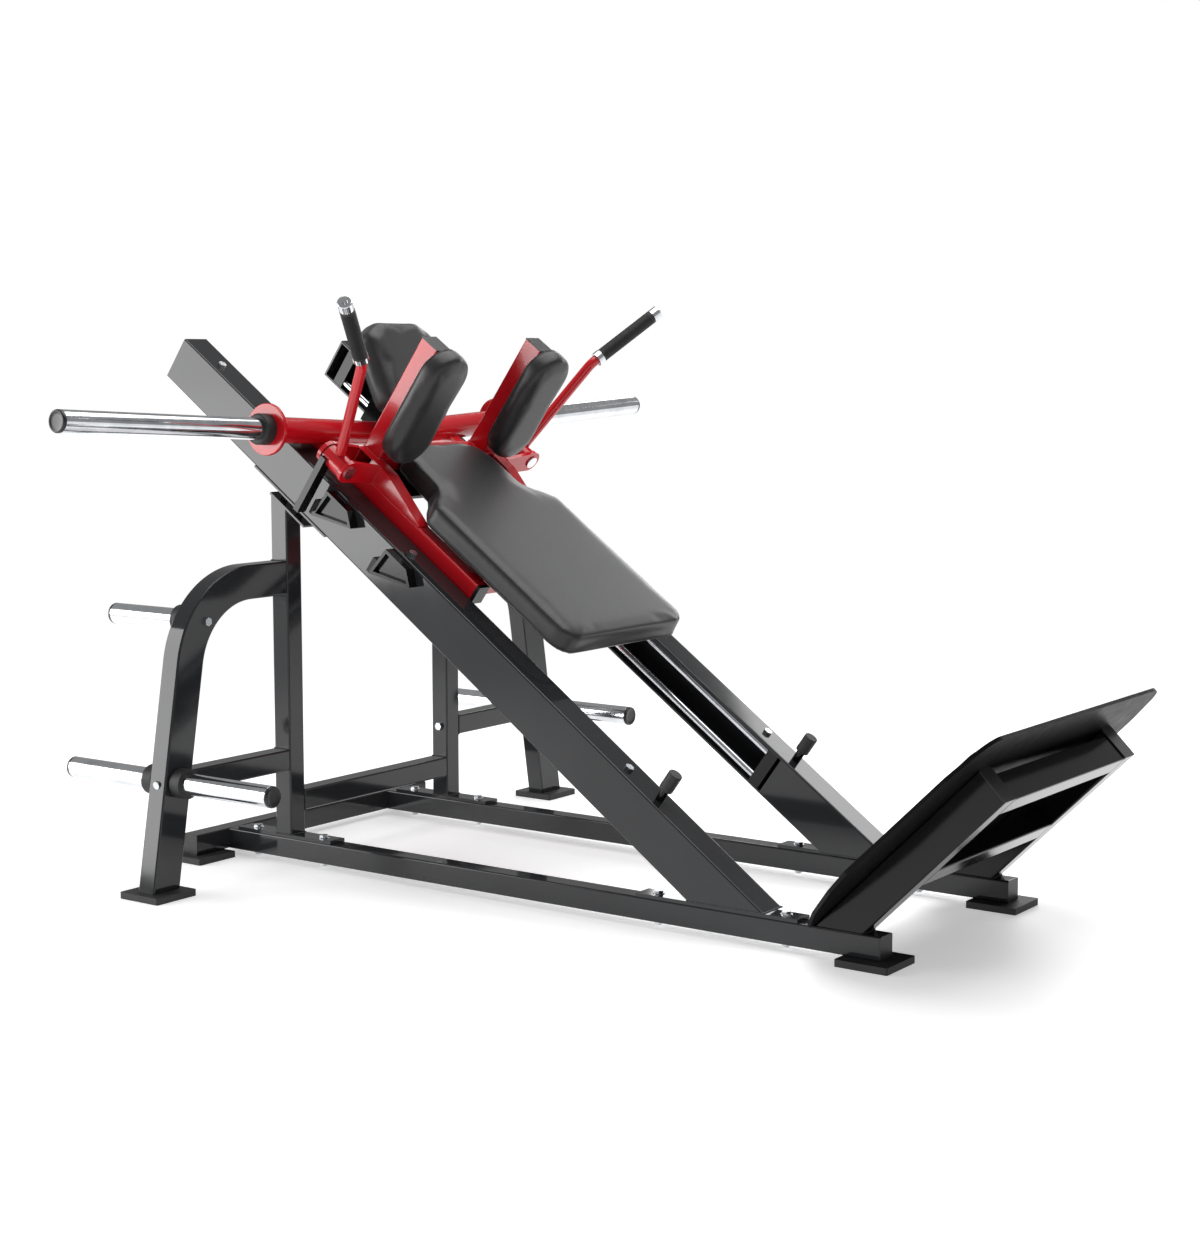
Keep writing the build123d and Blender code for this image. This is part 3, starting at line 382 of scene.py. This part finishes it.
def even_points(loop, step):
    """Points a step apart round a closed loop."""
    closed = loop + [loop[0]]
    lengths = [(b - a).length for a, b in zip(closed, closed[1:])]
    total = sum(lengths)
    count = max(8, round(total / step))
    points, index, passed = [], 0, 0.0
    for k in range(count):
        target = total * k / count
        while passed + lengths[index] < target:
            passed += lengths[index]
            index += 1
        part = (target - passed) / max(lengths[index], 1e-9)
        points.append(closed[index].lerp(closed[index + 1], part))
    return points


def round_bar(name, points, radius, material, closed):
    """A round bar or cord that follows a line of points."""
    curve = bpy.data.curves.new(name, "CURVE")
    curve.dimensions = "3D"
    curve.bevel_depth = radius
    curve.bevel_resolution = 3 if closed else 10
    curve.use_fill_caps = not closed
    line = curve.splines.new("POLY")
    line.points.add(len(points) - 1)
    for slot_point, point in zip(line.points, points):
        slot_point.co = (*point, 1)
    line.use_cyclic_u = closed
    holder = new_object(name + "_path", curve)
    view = bpy.context.evaluated_depsgraph_get()
    mesh = bpy.data.meshes.new_from_object(holder.evaluated_get(view))
    bpy.data.objects.remove(holder)
    piece = new_object(name, mesh, material)
    piece.data.shade_smooth()
    return piece


def socket(tree, name, kind, way="INPUT"):
    return tree.interface.new_socket(name=name, in_out=way, socket_type=kind)


def stitch_tree():
    """Geometry nodes: a short thread lies along a closed line at every stitch."""
    tree = bpy.data.node_groups.new("seam_stitches", "GeometryNodeTree")
    socket(tree, "Line", "NodeSocketGeometry")
    pitch = socket(tree, "Pitch", "NodeSocketFloat")
    thread = socket(tree, "Thread", "NodeSocketFloat")
    length = socket(tree, "Length", "NodeSocketFloat")
    look = socket(tree, "Material", "NodeSocketMaterial")
    socket(tree, "Geometry", "NodeSocketGeometry", "OUTPUT")
    given = add(tree, "NodeGroupInput")
    line = add(tree, "GeometryNodeMeshToCurve", {"Mesh": given.outputs["Line"]})
    even = add(tree, "GeometryNodeResampleCurve", {"Curve": line.outputs["Curve"],
                                                   "Length": given.outputs["Pitch"]}, mode="LENGTH")
    along = add(tree, "GeometryNodeInputTangent")
    turn = add(tree, "FunctionNodeAlignRotationToVector", {"Vector": along.outputs["Tangent"]}, axis="Z")
    thread_mesh = add(tree, "GeometryNodeMeshCylinder", {"Vertices": 6, "Radius": given.outputs["Thread"],
                                                         "Depth": given.outputs["Length"]})
    placed = add(tree, "GeometryNodeInstanceOnPoints", {"Points": even.outputs["Curve"],
                                                        "Instance": thread_mesh.outputs["Mesh"],
                                                        "Rotation": turn.outputs["Rotation"]})
    real = add(tree, "GeometryNodeRealizeInstances", {"Geometry": placed.outputs["Instances"]})
    shown = add(tree, "GeometryNodeSetMaterial", {"Geometry": real.outputs["Geometry"],
                                                  "Material": given.outputs["Material"]})
    add(tree, "NodeGroupOutput", {"Geometry": shown.outputs["Geometry"]})
    return tree, {"Pitch": pitch.identifier, "Thread": thread.identifier, "Length": length.identifier,
                  "Material": look.identifier}


def loops_object(name, loops):
    """Closed lines of edges, for the node trees to work along."""
    points, edges = [], []
    for loop in loops:
        first, count = len(points), len(loop)
        points += loop
        edges += [(first + k, first + (k + 1) % count) for k in range(count)]
    mesh = bpy.data.meshes.new(name)
    mesh.from_pydata(points, edges, [])
    return new_object(name, mesh)


def run_nodes(piece, tree, ids, values):
    """Sets the tree's inputs, then turns the result into a plain mesh."""
    modifier = piece.modifiers.new("nodes", "NODES")
    modifier.node_group = tree
    for name, value in values.items():
        modifier[ids[name]] = value
    bake_modifiers(piece)


def upholster():
    tree, ids = stitch_tree()
    for node, spec in PADS.items():
        if spec["out"]:
            out = (SLOPE.to_3x3() @ Vector(spec["out"])).normalized()
        else:
            out = Vector((math.sin(HEAD_SLOPE), 0, math.cos(HEAD_SLOPE)))
        pad = new_object(node + "_cover", pad_blank(node, spec["round"]), VINYL)
        stuff(pad, spec["voxel"], spec["cap"], out)
        pad.data.materials.clear()
        pad.data.materials.append(VINYL)
        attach(pad, "carriage")
        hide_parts(node)
        back = min(v.co.dot(out) for v in pad.data.vertices)
        seam_at = back + SEAM_FROM_BACK_MM * MM
        seam = even_points(section(pad, out * seam_at, out), SEAM_STEP_MM * MM)
        cord = round_bar(node + "_welt", seam, WELT_R_MM * MM, VINYL, closed=True)
        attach(cord, "carriage")
        sewn_at = back + (SEAM_FROM_BACK_MM + STITCHES_FROM_WELT_MM) * MM
        sewn = even_points(section(pad, out * sewn_at, out), STITCH_STEP_MM * MM)
        stitches = loops_object(node + "_stitches", [sewn])
        run_nodes(stitches, tree, ids, {"Pitch": STITCH_PITCH_MM * MM, "Thread": THREAD_R_MM * MM,
                                        "Length": STITCH_LENGTH_MM * MM, "Material": THREAD})
        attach(stitches, "carriage")


# ---- turned trim ----
def islands(node):
    """The lowest and highest corner of each separate piece in a frame node."""
    bm = bmesh.new()
    bm.from_mesh(frame_nodes[node].data)
    bmesh.ops.remove_doubles(bm, verts=bm.verts, dist=0.00005)
    left, found = set(bm.verts), []
    while left:
        group, queue = set(), [left.pop()]
        while queue:
            vertex = queue.pop()
            group.add(vertex)
            for edge in vertex.link_edges:
                other = edge.other_vert(vertex)
                if other in left:
                    left.discard(other)
                    queue.append(other)
        axes = list(zip(*(v.co for v in group)))
        found.append((Vector([min(a) for a in axes]), Vector([max(a) for a in axes])))
    bm.free()
    return sorted(found, key=lambda box: tuple(round(c, 4) for c in box[0]))


def lathe(bm, profile_mm, start, axis, turns=64):
    """Adds a turned shape: the profile is (distance along the axis, radius)."""
    axis = axis.normalized()
    across = axis.orthogonal().normalized()
    rim = [bm.verts.new(start + axis * d * MM + across * r * MM) for d, r in profile_mm]
    edges = [bm.edges.new(pair) for pair in zip(rim, rim[1:])]
    bmesh.ops.spin(bm, geom=rim + edges, cent=start, axis=axis, angle=2 * math.pi, steps=turns)


def turned_piece(name, shapes, material, body, angle=35, replaced=None):
    """One piece from turned shapes, each given as (profile, start, axis)."""
    bm = bmesh.new()
    for profile, start, axis in shapes:
        lathe(bm, profile, start, axis)
    bmesh.ops.remove_doubles(bm, verts=bm.verts, dist=0.00002)
    bmesh.ops.recalc_face_normals(bm, faces=bm.faces)
    piece = new_object(name, mesh_from(bm, name), material)
    smooth(piece, angle)
    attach(piece, body)
    if replaced:
        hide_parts(replaced)
    return piece


CAP_PROFILE = [(0, 0), (0, 1.0), (4.5, 1.0), (6.4, 0.97), (7.6, 0.92), (8.0, 0.86), (7.7, 0.8), (6.9, 0.74),
               (6.4, 0.5), (6.2, 0.0)]
BAR_AXIS_X = -691
BAR_AXIS_Z = 1021
BAR_RISE = math.radians(3)
LOAD_FLANGE_Y = 423
SLEEVE_END_Y = 1049
SLEEVE_R = 25.0
HORN_R = 24.5
CAP_L = 8.0


def cap_profile(radius):
    """A push-in tube cap with a rounded shoulder and a dished face."""
    return [(d, share * radius) for d, share in CAP_PROFILE]


def sleeve_caps():
    shapes = []
    reach = LOAD_FLANGE_Y + (SLEEVE_END_Y - LOAD_FLANGE_Y) / math.cos(BAR_RISE) - CAP_L
    for side, _ in SIDES:
        shapes.append((cap_profile(SLEEVE_R), bar_point(side, reach), bar_axis(side)))
    turned_piece("load_sleeve_dished_caps", shapes, CAP_PLASTIC, "carriage",
                 replaced="load_sleeve_caps")
    shapes = [(cap_profile(HORN_R), start, way) for start, way, _ in horn_places("storage_horn_caps")]
    turned_piece("storage_horn_dished_caps", shapes, CAP_PLASTIC, "frame",
                 replaced="storage_horn_caps")


DISC_T = 10
SEAT_L = 30
SEAT_STEP = 1.0
SLEEVE_BORE = 21.0
COLLAR_L = 34
HORN_BORE = 20.5
ROD_R = 10.0
EASE = 0.6


def bar_axis(side):
    """Direction of one half of the load bar, which rises outwards."""
    return Vector((0, side * math.cos(BAR_RISE), math.sin(BAR_RISE)))


def bar_point(side, reach_mm):
    return Vector((BAR_AXIS_X, 0, BAR_AXIS_Z)) * MM + bar_axis(side) * reach_mm * MM


def horn_places(node):
    """Start, direction and length of each storage horn's piece, away from the uprights."""
    middle = sum((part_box("uprights")[k].x for k in (0, 1))) / 2
    for low, high in islands(node):
        way = 1 if low.x > middle else -1
        start = Vector((low.x if way > 0 else high.x, (low.y + high.y) / 2, (low.z + high.z) / 2))
        yield start, Vector((way, 0, 0)), (high.x - low.x) / MM


def sleeve_profile(length, seat, radius, bore):
    """A ground tube, turned down over its seat and eased at its end."""
    return [(0, bore), (0, radius - SEAT_STEP), (seat, radius - SEAT_STEP), (seat, radius - EASE),
            (seat + EASE, radius), (length - EASE, radius), (length, radius - EASE), (length, bore),
            (0, bore)]


def chrome_tubes():
    """Load sleeves, storage horns and guide rods as turned."""
    shapes = []
    reach = (SLEEVE_END_Y - LOAD_FLANGE_Y) / math.cos(BAR_RISE)
    profile = sleeve_profile(reach - DISC_T - CAP_L, SEAT_L, SLEEVE_R, SLEEVE_BORE)
    for side, _ in SIDES:
        shapes.append((profile, bar_point(side, LOAD_FLANGE_Y + DISC_T), bar_axis(side)))
    turned_piece("turned_load_sleeves", shapes, CHROME, "carriage", replaced="load_sleeves")
    shapes = [(sleeve_profile(length, COLLAR_L, HORN_R, HORN_BORE), start, way)
              for start, way, length in horn_places("storage_horns")]
    turned_piece("turned_storage_horns", shapes, CHROME, "frame", replaced="storage_horns")
    shapes = []
    for low, high in islands("guide_rods"):
        length = ((high.x - low.x) / MM - 2 * ROD_R * math.sin(INCLINE)) / math.cos(INCLINE)
        start = (low + high) / 2 - DOWN_SLOPE * length / 2 * MM
        shapes.append(([(0, 0), (0, ROD_R), (length, ROD_R), (length, 0)], start, DOWN_SLOPE))
    turned_piece("ground_guide_rods", shapes, CHROME, "frame", replaced="guide_rods")


PIVOT = (343, 69)
BARREL_S = (549.2, 609.8)
BARREL_R = 25.0
BARREL_BORE = 10.05
ROD_SINK = 4               # the rod starts inside the barrel, this far out from its bore
HANDLE_R = 12.5
HANDLE_BEND_R = 60
HANDLE_S = 578
HANDLE_BEND = (432, 341)
HANDLE_TIP = (591, 501)
BEND_STEPS = 14
GRIP_START = 34
GRIP_END = 205
GRIP_R = 17.0
GRIP_BORE = 12.6
RIB_PITCH = 3.4
RIB_DEPTH = 0.9


def grips():
    """Ribbed rubber hand grips, with a plain collar at each end."""
    first, last = GRIP_START + 7, GRIP_END - 7
    count = int((last - first) / RIB_PITCH)
    profile = [(GRIP_START, GRIP_BORE), (GRIP_START, GRIP_R - 1), (GRIP_START + 1, GRIP_R), (first, GRIP_R)]
    for k in range(count):
        at = first + k * RIB_PITCH
        profile += [(at + 0.3, GRIP_R - RIB_DEPTH), (at + 1.1, GRIP_R - RIB_DEPTH), (at + 1.5, GRIP_R),
                    (at + RIB_PITCH, GRIP_R)]
    profile += [(GRIP_END - 1, GRIP_R), (GRIP_END, GRIP_R - 1), (GRIP_END, GRIP_BORE),
                (GRIP_START, GRIP_BORE)]
    for side, name in SIDES:
        bend = slope_point(HANDLE_S, side * HANDLE_BEND[0], HANDLE_BEND[1])
        tip = slope_point(HANDLE_S, side * HANDLE_TIP[0], HANDLE_TIP[1])
        turned_piece(name + "_ribbed_grip", [(profile, bend, tip - bend)], GRIP_RUBBER, name + "_handle",
                     replaced=name + "_handle_grip")


def bent(first, corner, last, radius):
    """Points along two straight runs joined by an arc, all in one plane."""
    first, corner, last = Vector(first), Vector(corner), Vector(last)
    back, on = (first - corner).normalized(), (last - corner).normalized()
    half = back.angle(on) / 2
    middle = corner + (back + on).normalized() * radius / math.sin(half)
    start = corner + back * radius / math.tan(half) - middle
    end = corner + on * radius / math.tan(half) - middle
    arc = [middle + start.slerp(end, k / BEND_STEPS) * radius for k in range(BEND_STEPS + 1)]
    return [first, *arc, last]


def handle_rods():
    """Each release handle's bent rod and the barrel that turns on the pivot pin."""
    length = BARREL_S[1] - BARREL_S[0]
    profile = [(0, BARREL_BORE), (0, BARREL_R - EASE), (EASE, BARREL_R), (length - EASE, BARREL_R),
               (length, BARREL_R - EASE), (length, BARREL_BORE), (0, BARREL_BORE)]
    for side, name in SIDES:
        route = bent((PIVOT[0], PIVOT[1] + BARREL_BORE + ROD_SINK), HANDLE_BEND, HANDLE_TIP, HANDLE_BEND_R)
        route = [slope_point(HANDLE_S, side * p.x, p.y) for p in route]
        tube = round_bar(name + "_bent_rod", route, HANDLE_R * MM, RED, closed=False)
        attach(tube, name + "_handle")
        turned_piece(name + "_pivot_barrel", [(profile, slope_point(BARREL_S[0], side * PIVOT[0], PIVOT[1]),
                                               DOWN_SLOPE)], RED, name + "_handle",
                     replaced=name + "_handle_lever")


BOLT_MIN_L_MM = 60         # what tells the upright floor bolts from the others
BOLT_MAX_W_MM = 22
WASHER_PROFILE = [(0, 11), (0, 13), (1.4, 13), (1.8, 12.6), (1.8, 10.2), (0, 10.2), (0, 11)]


def washers():
    """Plain washers round the heads of the bolts that stand on the floor frame's plates."""
    shapes = []
    plate_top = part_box("base_plates")[1].z
    for low, high in islands("frame_bolts"):
        upright_bolt = high.z - low.z > BOLT_MIN_L_MM * MM and high.x - low.x < BOLT_MAX_W_MM * MM
        if upright_bolt:
            start = Vector(((low.x + high.x) / 2, (low.y + high.y) / 2, plate_top))
            shapes.append((WASHER_PROFILE, start, Vector((0, 0, 1))))
    turned_piece("floor_bolt_washers", shapes, ZINC, "frame")


# ---- welds ----
def weld_tree():
    """Geometry nodes: overlapping beads of weld metal along a line, as a welder lays them."""
    tree = bpy.data.node_groups.new("weld_beads", "GeometryNodeTree")
    socket(tree, "Line", "NodeSocketGeometry")
    pitch = socket(tree, "Pitch", "NodeSocketFloat")
    radius = socket(tree, "Radius", "NodeSocketFloat")
    look = socket(tree, "Material", "NodeSocketMaterial")
    socket(tree, "Geometry", "NodeSocketGeometry", "OUTPUT")
    given = add(tree, "NodeGroupInput")
    line = add(tree, "GeometryNodeMeshToCurve", {"Mesh": given.outputs["Line"]})
    even = add(tree, "GeometryNodeResampleCurve", {"Curve": line.outputs["Curve"],
                                                   "Length": given.outputs["Pitch"]}, mode="LENGTH")
    drop = add(tree, "GeometryNodeMeshIcoSphere", {"Radius": given.outputs["Radius"], "Subdivisions": 2})
    uneven = add(tree, "FunctionNodeRandomValue", data_type="FLOAT")
    uneven.inputs[2].default_value, uneven.inputs[3].default_value = BEAD_SPREAD
    uneven.inputs["Seed"].default_value = 7
    placed = add(tree, "GeometryNodeInstanceOnPoints", {"Points": even.outputs["Curve"],
                                                        "Instance": drop.outputs["Mesh"],
                                                        "Scale": uneven.outputs[1]})
    real = add(tree, "GeometryNodeRealizeInstances", {"Geometry": placed.outputs["Instances"]})
    soft = add(tree, "GeometryNodeSetShadeSmooth", {"Geometry": real.outputs["Geometry"]})
    shown = add(tree, "GeometryNodeSetMaterial", {"Geometry": soft.outputs["Geometry"],
                                                  "Material": given.outputs["Material"]})
    add(tree, "NodeGroupOutput", {"Geometry": shown.outputs["Geometry"]})
    return tree, {"Pitch": pitch.identifier, "Radius": radius.identifier, "Material": look.identifier}


def ring(centre, across, up):
    """Corners of a rectangle about a centre, from its half sides in millimetres."""
    corners = [(1, 1), (-1, 1), (-1, -1), (1, -1)]
    return [(Vector(centre) + Vector(across) * a + Vector(up) * b) * MM for a, b in corners]


def circle(centre, across, up, count=36):
    """Points round a circle, from two radii at right angles in millimetres."""
    turns = [2 * math.pi * k / count for k in range(count)]
    return [(Vector(centre) + Vector(across) * math.cos(a) + Vector(up) * math.sin(a)) * MM for a in turns]


UPRIGHT_X = -764
RAIL_Y = 294
HALF_TUBE = 25
LEG_TOP_Z = 690.5
LEG_HALF_DEPTH = 40
STRUT_Z = 255
BRACE_Z = 151
BASE_PLATE_Z = 73
RAIL_Z = 65
BEAD_R_MM = 2.0
BEAD_PITCH_MM = 2.2
BEAD_SPREAD = (0.85, 1.12)
FOOT_BASE_X = 695
FOOT_DEPTH = 80
EAR_PLATES_S = (537, 612)
EAR_T = 10
EAR_H = (36, 79)
CARRIAGE_SIDE_Y = 240
POST_S = (537, 592)
POST_Y = (170, 220)
CROSS_TUBE_H = 80
BAR_R = 30


def welds():
    tree, ids = weld_tree()
    grey, red, black = [], [], []
    beam_low, beam_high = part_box("left_inclined_beam")
    beam_foot = [beam_high.x / MM - BEAM_DEPTH / MM / math.sin(INCLINE), beam_high.x / MM]
    foot_run = FOOT_DEPTH / math.sin(FOOT_SLOPE)
    for side, _ in SIDES:
        y = side * RAIL_Y
        joint_y = side * (RAIL_Y + HALF_TUBE)
        grey.append(ring((UPRIGHT_X, y, BASE_PLATE_Z), (HALF_TUBE, 0, 0), (0, HALF_TUBE, 0)))
        grey.append(ring((UPRIGHT_X, joint_y, LEG_TOP_Z), (HALF_TUBE, 0, 0), (0, 0, LEG_HALF_DEPTH)))
        grey.append(ring((UPRIGHT_X, joint_y, STRUT_Z), (HALF_TUBE, 0, 0), (0, 0, HALF_TUBE)))
        grey.append(ring((UPRIGHT_X, side * (RAIL_Y - HALF_TUBE), BRACE_Z), (HALF_TUBE, 0, 0),
                         (0, 0, HALF_TUBE)))
        middle_x = (beam_foot[0] + beam_foot[1]) / 2
        middle_y = side * (beam_low.y + beam_high.y) / 2 / MM
        grey.append(ring((middle_x, middle_y, BASE_PLATE_Z), ((beam_foot[1] - beam_foot[0]) / 2, 0, 0),
                         (0, (beam_high.y - beam_low.y) / 2 / MM, 0)))
        black.append(ring((FOOT_BASE_X + foot_run / 2, y, RAIL_Z), (foot_run / 2, 0, 0), (0, HALF_TUBE, 0)))
        flange = bar_point(side, LOAD_FLANGE_Y) / MM
        up = Vector((0, -side * math.sin(BAR_RISE), math.cos(BAR_RISE)))
        red.append(circle(flange, Vector((BAR_R, 0, 0)), up * BAR_R))
        for s in EAR_PLATES_S:
            corners = [(s, EAR_H[0]), (s, EAR_H[1]), (s + EAR_T, EAR_H[1]), (s + EAR_T, EAR_H[0])]
            red.append([slope_point(a, side * (CARRIAGE_SIDE_Y + 0.5), h) for a, h in corners])
        (s0, s1), (y0, y1) = POST_S, POST_Y
        posts = [(s0, y0), (s1, y0), (s1, y1), (s0, y1)]
        red.append([slope_point(s, side * across, CROSS_TUBE_H) for s, across in posts])
    for name, loops, material, body, slot in (("frame_welds", grey, GRAPHITE, "frame", "graphite_paint"),
                                              ("foot_welds", black, BLACK, "frame", "black_paint"),
                                              ("carriage_welds", red, RED, "carriage", "red_paint")):
        piece = loops_object(name, loops)
        run_nodes(piece, tree, ids, {"Pitch": BEAD_PITCH_MM * MM, "Radius": BEAD_R_MM * MM,
                                     "Material": material})
        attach(piece, body)


# ---- foot plate tread ----
FOOT = Matrix.Translation((FOOT_BASE_X * MM, 0, RAIL_Z * MM)) @ Matrix.Rotation(-FOOT_SLOPE, 4, "Y")
MAT_LENGTH = 420
MAT_WIDTH = 840
MAT_TOP_H = 12
MAT_MIDDLE_U = 361
STUD_PITCH_MM = 15
STUD_R_MM = 4.0
STUD_H_MM = 1.8
STUD_SINK_MM = 0.1
STUD_TAPER = 0.72
MAT_MARGIN_MM = 24


def stud_tree():
    """Geometry nodes: low round studs in a square grid."""
    tree = bpy.data.node_groups.new("tread_studs", "GeometryNodeTree")
    names = ("Length", "Width", "Radius", "Height")
    ids = {name: socket(tree, name, "NodeSocketFloat").identifier for name in names}
    for name in ("Rows", "Columns"):
        ids[name] = socket(tree, name, "NodeSocketInt").identifier
    ids["Material"] = socket(tree, "Material", "NodeSocketMaterial").identifier
    socket(tree, "Geometry", "NodeSocketGeometry", "OUTPUT")
    given = add(tree, "NodeGroupInput")
    grid = add(tree, "GeometryNodeMeshGrid", {
        "Size X": given.outputs["Length"], "Size Y": given.outputs["Width"],
        "Vertices X": given.outputs["Rows"], "Vertices Y": given.outputs["Columns"]})
    stud = add(tree, "GeometryNodeMeshCone", {
        "Vertices": 12, "Radius Bottom": given.outputs["Radius"], "Depth": given.outputs["Height"]})
    narrow = add(tree, "ShaderNodeMath", {0: given.outputs["Radius"], 1: STUD_TAPER}, operation="MULTIPLY")
    tree.links.new(narrow.outputs[0], stud.inputs["Radius Top"])
    placed = add(tree, "GeometryNodeInstanceOnPoints", {"Points": grid.outputs["Mesh"],
                                                        "Instance": stud.outputs["Mesh"]})
    real = add(tree, "GeometryNodeRealizeInstances", {"Geometry": placed.outputs["Instances"]})
    shown = add(tree, "GeometryNodeSetMaterial", {"Geometry": real.outputs["Geometry"],
                                                  "Material": given.outputs["Material"]})
    add(tree, "NodeGroupOutput", {"Geometry": shown.outputs["Geometry"]})
    return tree, ids


def tread():
    tree, ids = stud_tree()
    length, width = MAT_LENGTH - 2 * MAT_MARGIN_MM, MAT_WIDTH - 2 * MAT_MARGIN_MM
    piece = new_object("tread_studs", bpy.data.meshes.new("tread_studs"))
    run_nodes(piece, tree, ids, {"Length": length * MM, "Width": width * MM, "Radius": STUD_R_MM * MM,
                                 "Height": STUD_H_MM * MM, "Rows": round(length / STUD_PITCH_MM),
                                 "Columns": round(width / STUD_PITCH_MM), "Material": RUBBER})
    place = FOOT @ Matrix.Translation((MAT_MIDDLE_U * MM, 0, (MAT_TOP_H - STUD_SINK_MM) * MM))
    piece.data.transform(place)
    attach(piece, "frame")


# ---- studio ----
def softbox(name, place, target, size, power):
    light = bpy.data.lights.new(name, "AREA")
    light.shape = "RECTANGLE"
    light.size, light.size_y = size
    light.energy = power
    lamp = bpy.data.objects.new(name, light)
    bpy.context.scene.collection.objects.link(lamp)
    lamp.location = place
    lamp.rotation_euler = (Vector(target) - Vector(place)).to_track_quat("-Z", "Y").to_euler()


def studio():
    world = bpy.data.worlds.new("white_studio")
    bpy.context.scene.world = world
    world.use_nodes = True
    tree = world.node_tree
    tree.nodes.clear()
    path = add(tree, "ShaderNodeLightPath")
    seen = add(tree, "ShaderNodeBackground", {"Color": (1, 1, 1, 1), "Strength": 1.0})
    fill = add(tree, "ShaderNodeBackground", {"Color": (1, 1, 1, 1), "Strength": 0.3})
    mix = add(tree, "ShaderNodeMixShader", {0: path.outputs["Is Camera Ray"],
                                            1: fill.outputs["Background"],
                                            2: seen.outputs["Background"]})
    add(tree, "ShaderNodeOutputWorld", {"Surface": mix.outputs["Shader"]})
    bm = bmesh.new()
    bmesh.ops.create_grid(bm, x_segments=1, y_segments=1, size=60)
    floor = new_object("studio_floor", mesh_from(bm, "studio_floor"))
    material, tree, place = start_material("white_floor")
    reach = add(tree, "ShaderNodeVectorMath", {0: place}, operation="LENGTH")
    far = add(tree, "ShaderNodeMapRange", {"Value": reach.outputs["Value"], "From Min": 1.9,
                                           "From Max": 4.2}, interpolation_type="SMOOTHSTEP")
    lit = add(tree, "ShaderNodeBsdfPrincipled", {
        "Base Color": linear("f4f4f4"), "Roughness": 0.5, "Emission Color": (1, 1, 1, 1),
        "Emission Strength": 0.42})
    glow = add(tree, "ShaderNodeEmission", {"Color": (1, 1, 1, 1), "Strength": 1.0})
    mix = add(tree, "ShaderNodeMixShader", {0: far.outputs["Result"], 1: lit.outputs["BSDF"],
                                            2: glow.outputs["Emission"]})
    add(tree, "ShaderNodeOutputMaterial", {"Surface": mix.outputs["Shader"]})
    floor.data.materials.append(material)
    softbox("left_front_box", (-4.8, -3.6, 1.7), (0, 0, 0.5), (3.6, 3.2), 210)
    softbox("top_box", (0.2, 0.6, 4.4), (0, 0, 0.4), (4.5, 4.0), 150)
    softbox("back_box", (-1.0, 5.5, 2.6), (0, 0, 0.8), (5.0, 2.2), 130)
    bpy.context.scene.view_settings.view_transform = "Standard"


def camera():
    lens = bpy.data.cameras.new("view")
    lens.sensor_fit = "HORIZONTAL"
    lens.sensor_width = 36.0
    lens.lens = 66.7
    lens.clip_end = 200
    eye = bpy.data.objects.new("view", lens)
    bpy.context.scene.collection.objects.link(eye)
    eye.location = (2.887, -4.146, 1.200)
    eye.rotation_euler = (math.radians(83.42), 0, math.radians(35.41))
    bpy.context.scene.camera = eye


camera()
studio()
finish_cad_nodes()
upholster()
chrome_tubes()
handle_rods()
sleeve_caps()
grips()
washers()
welds()
tread()
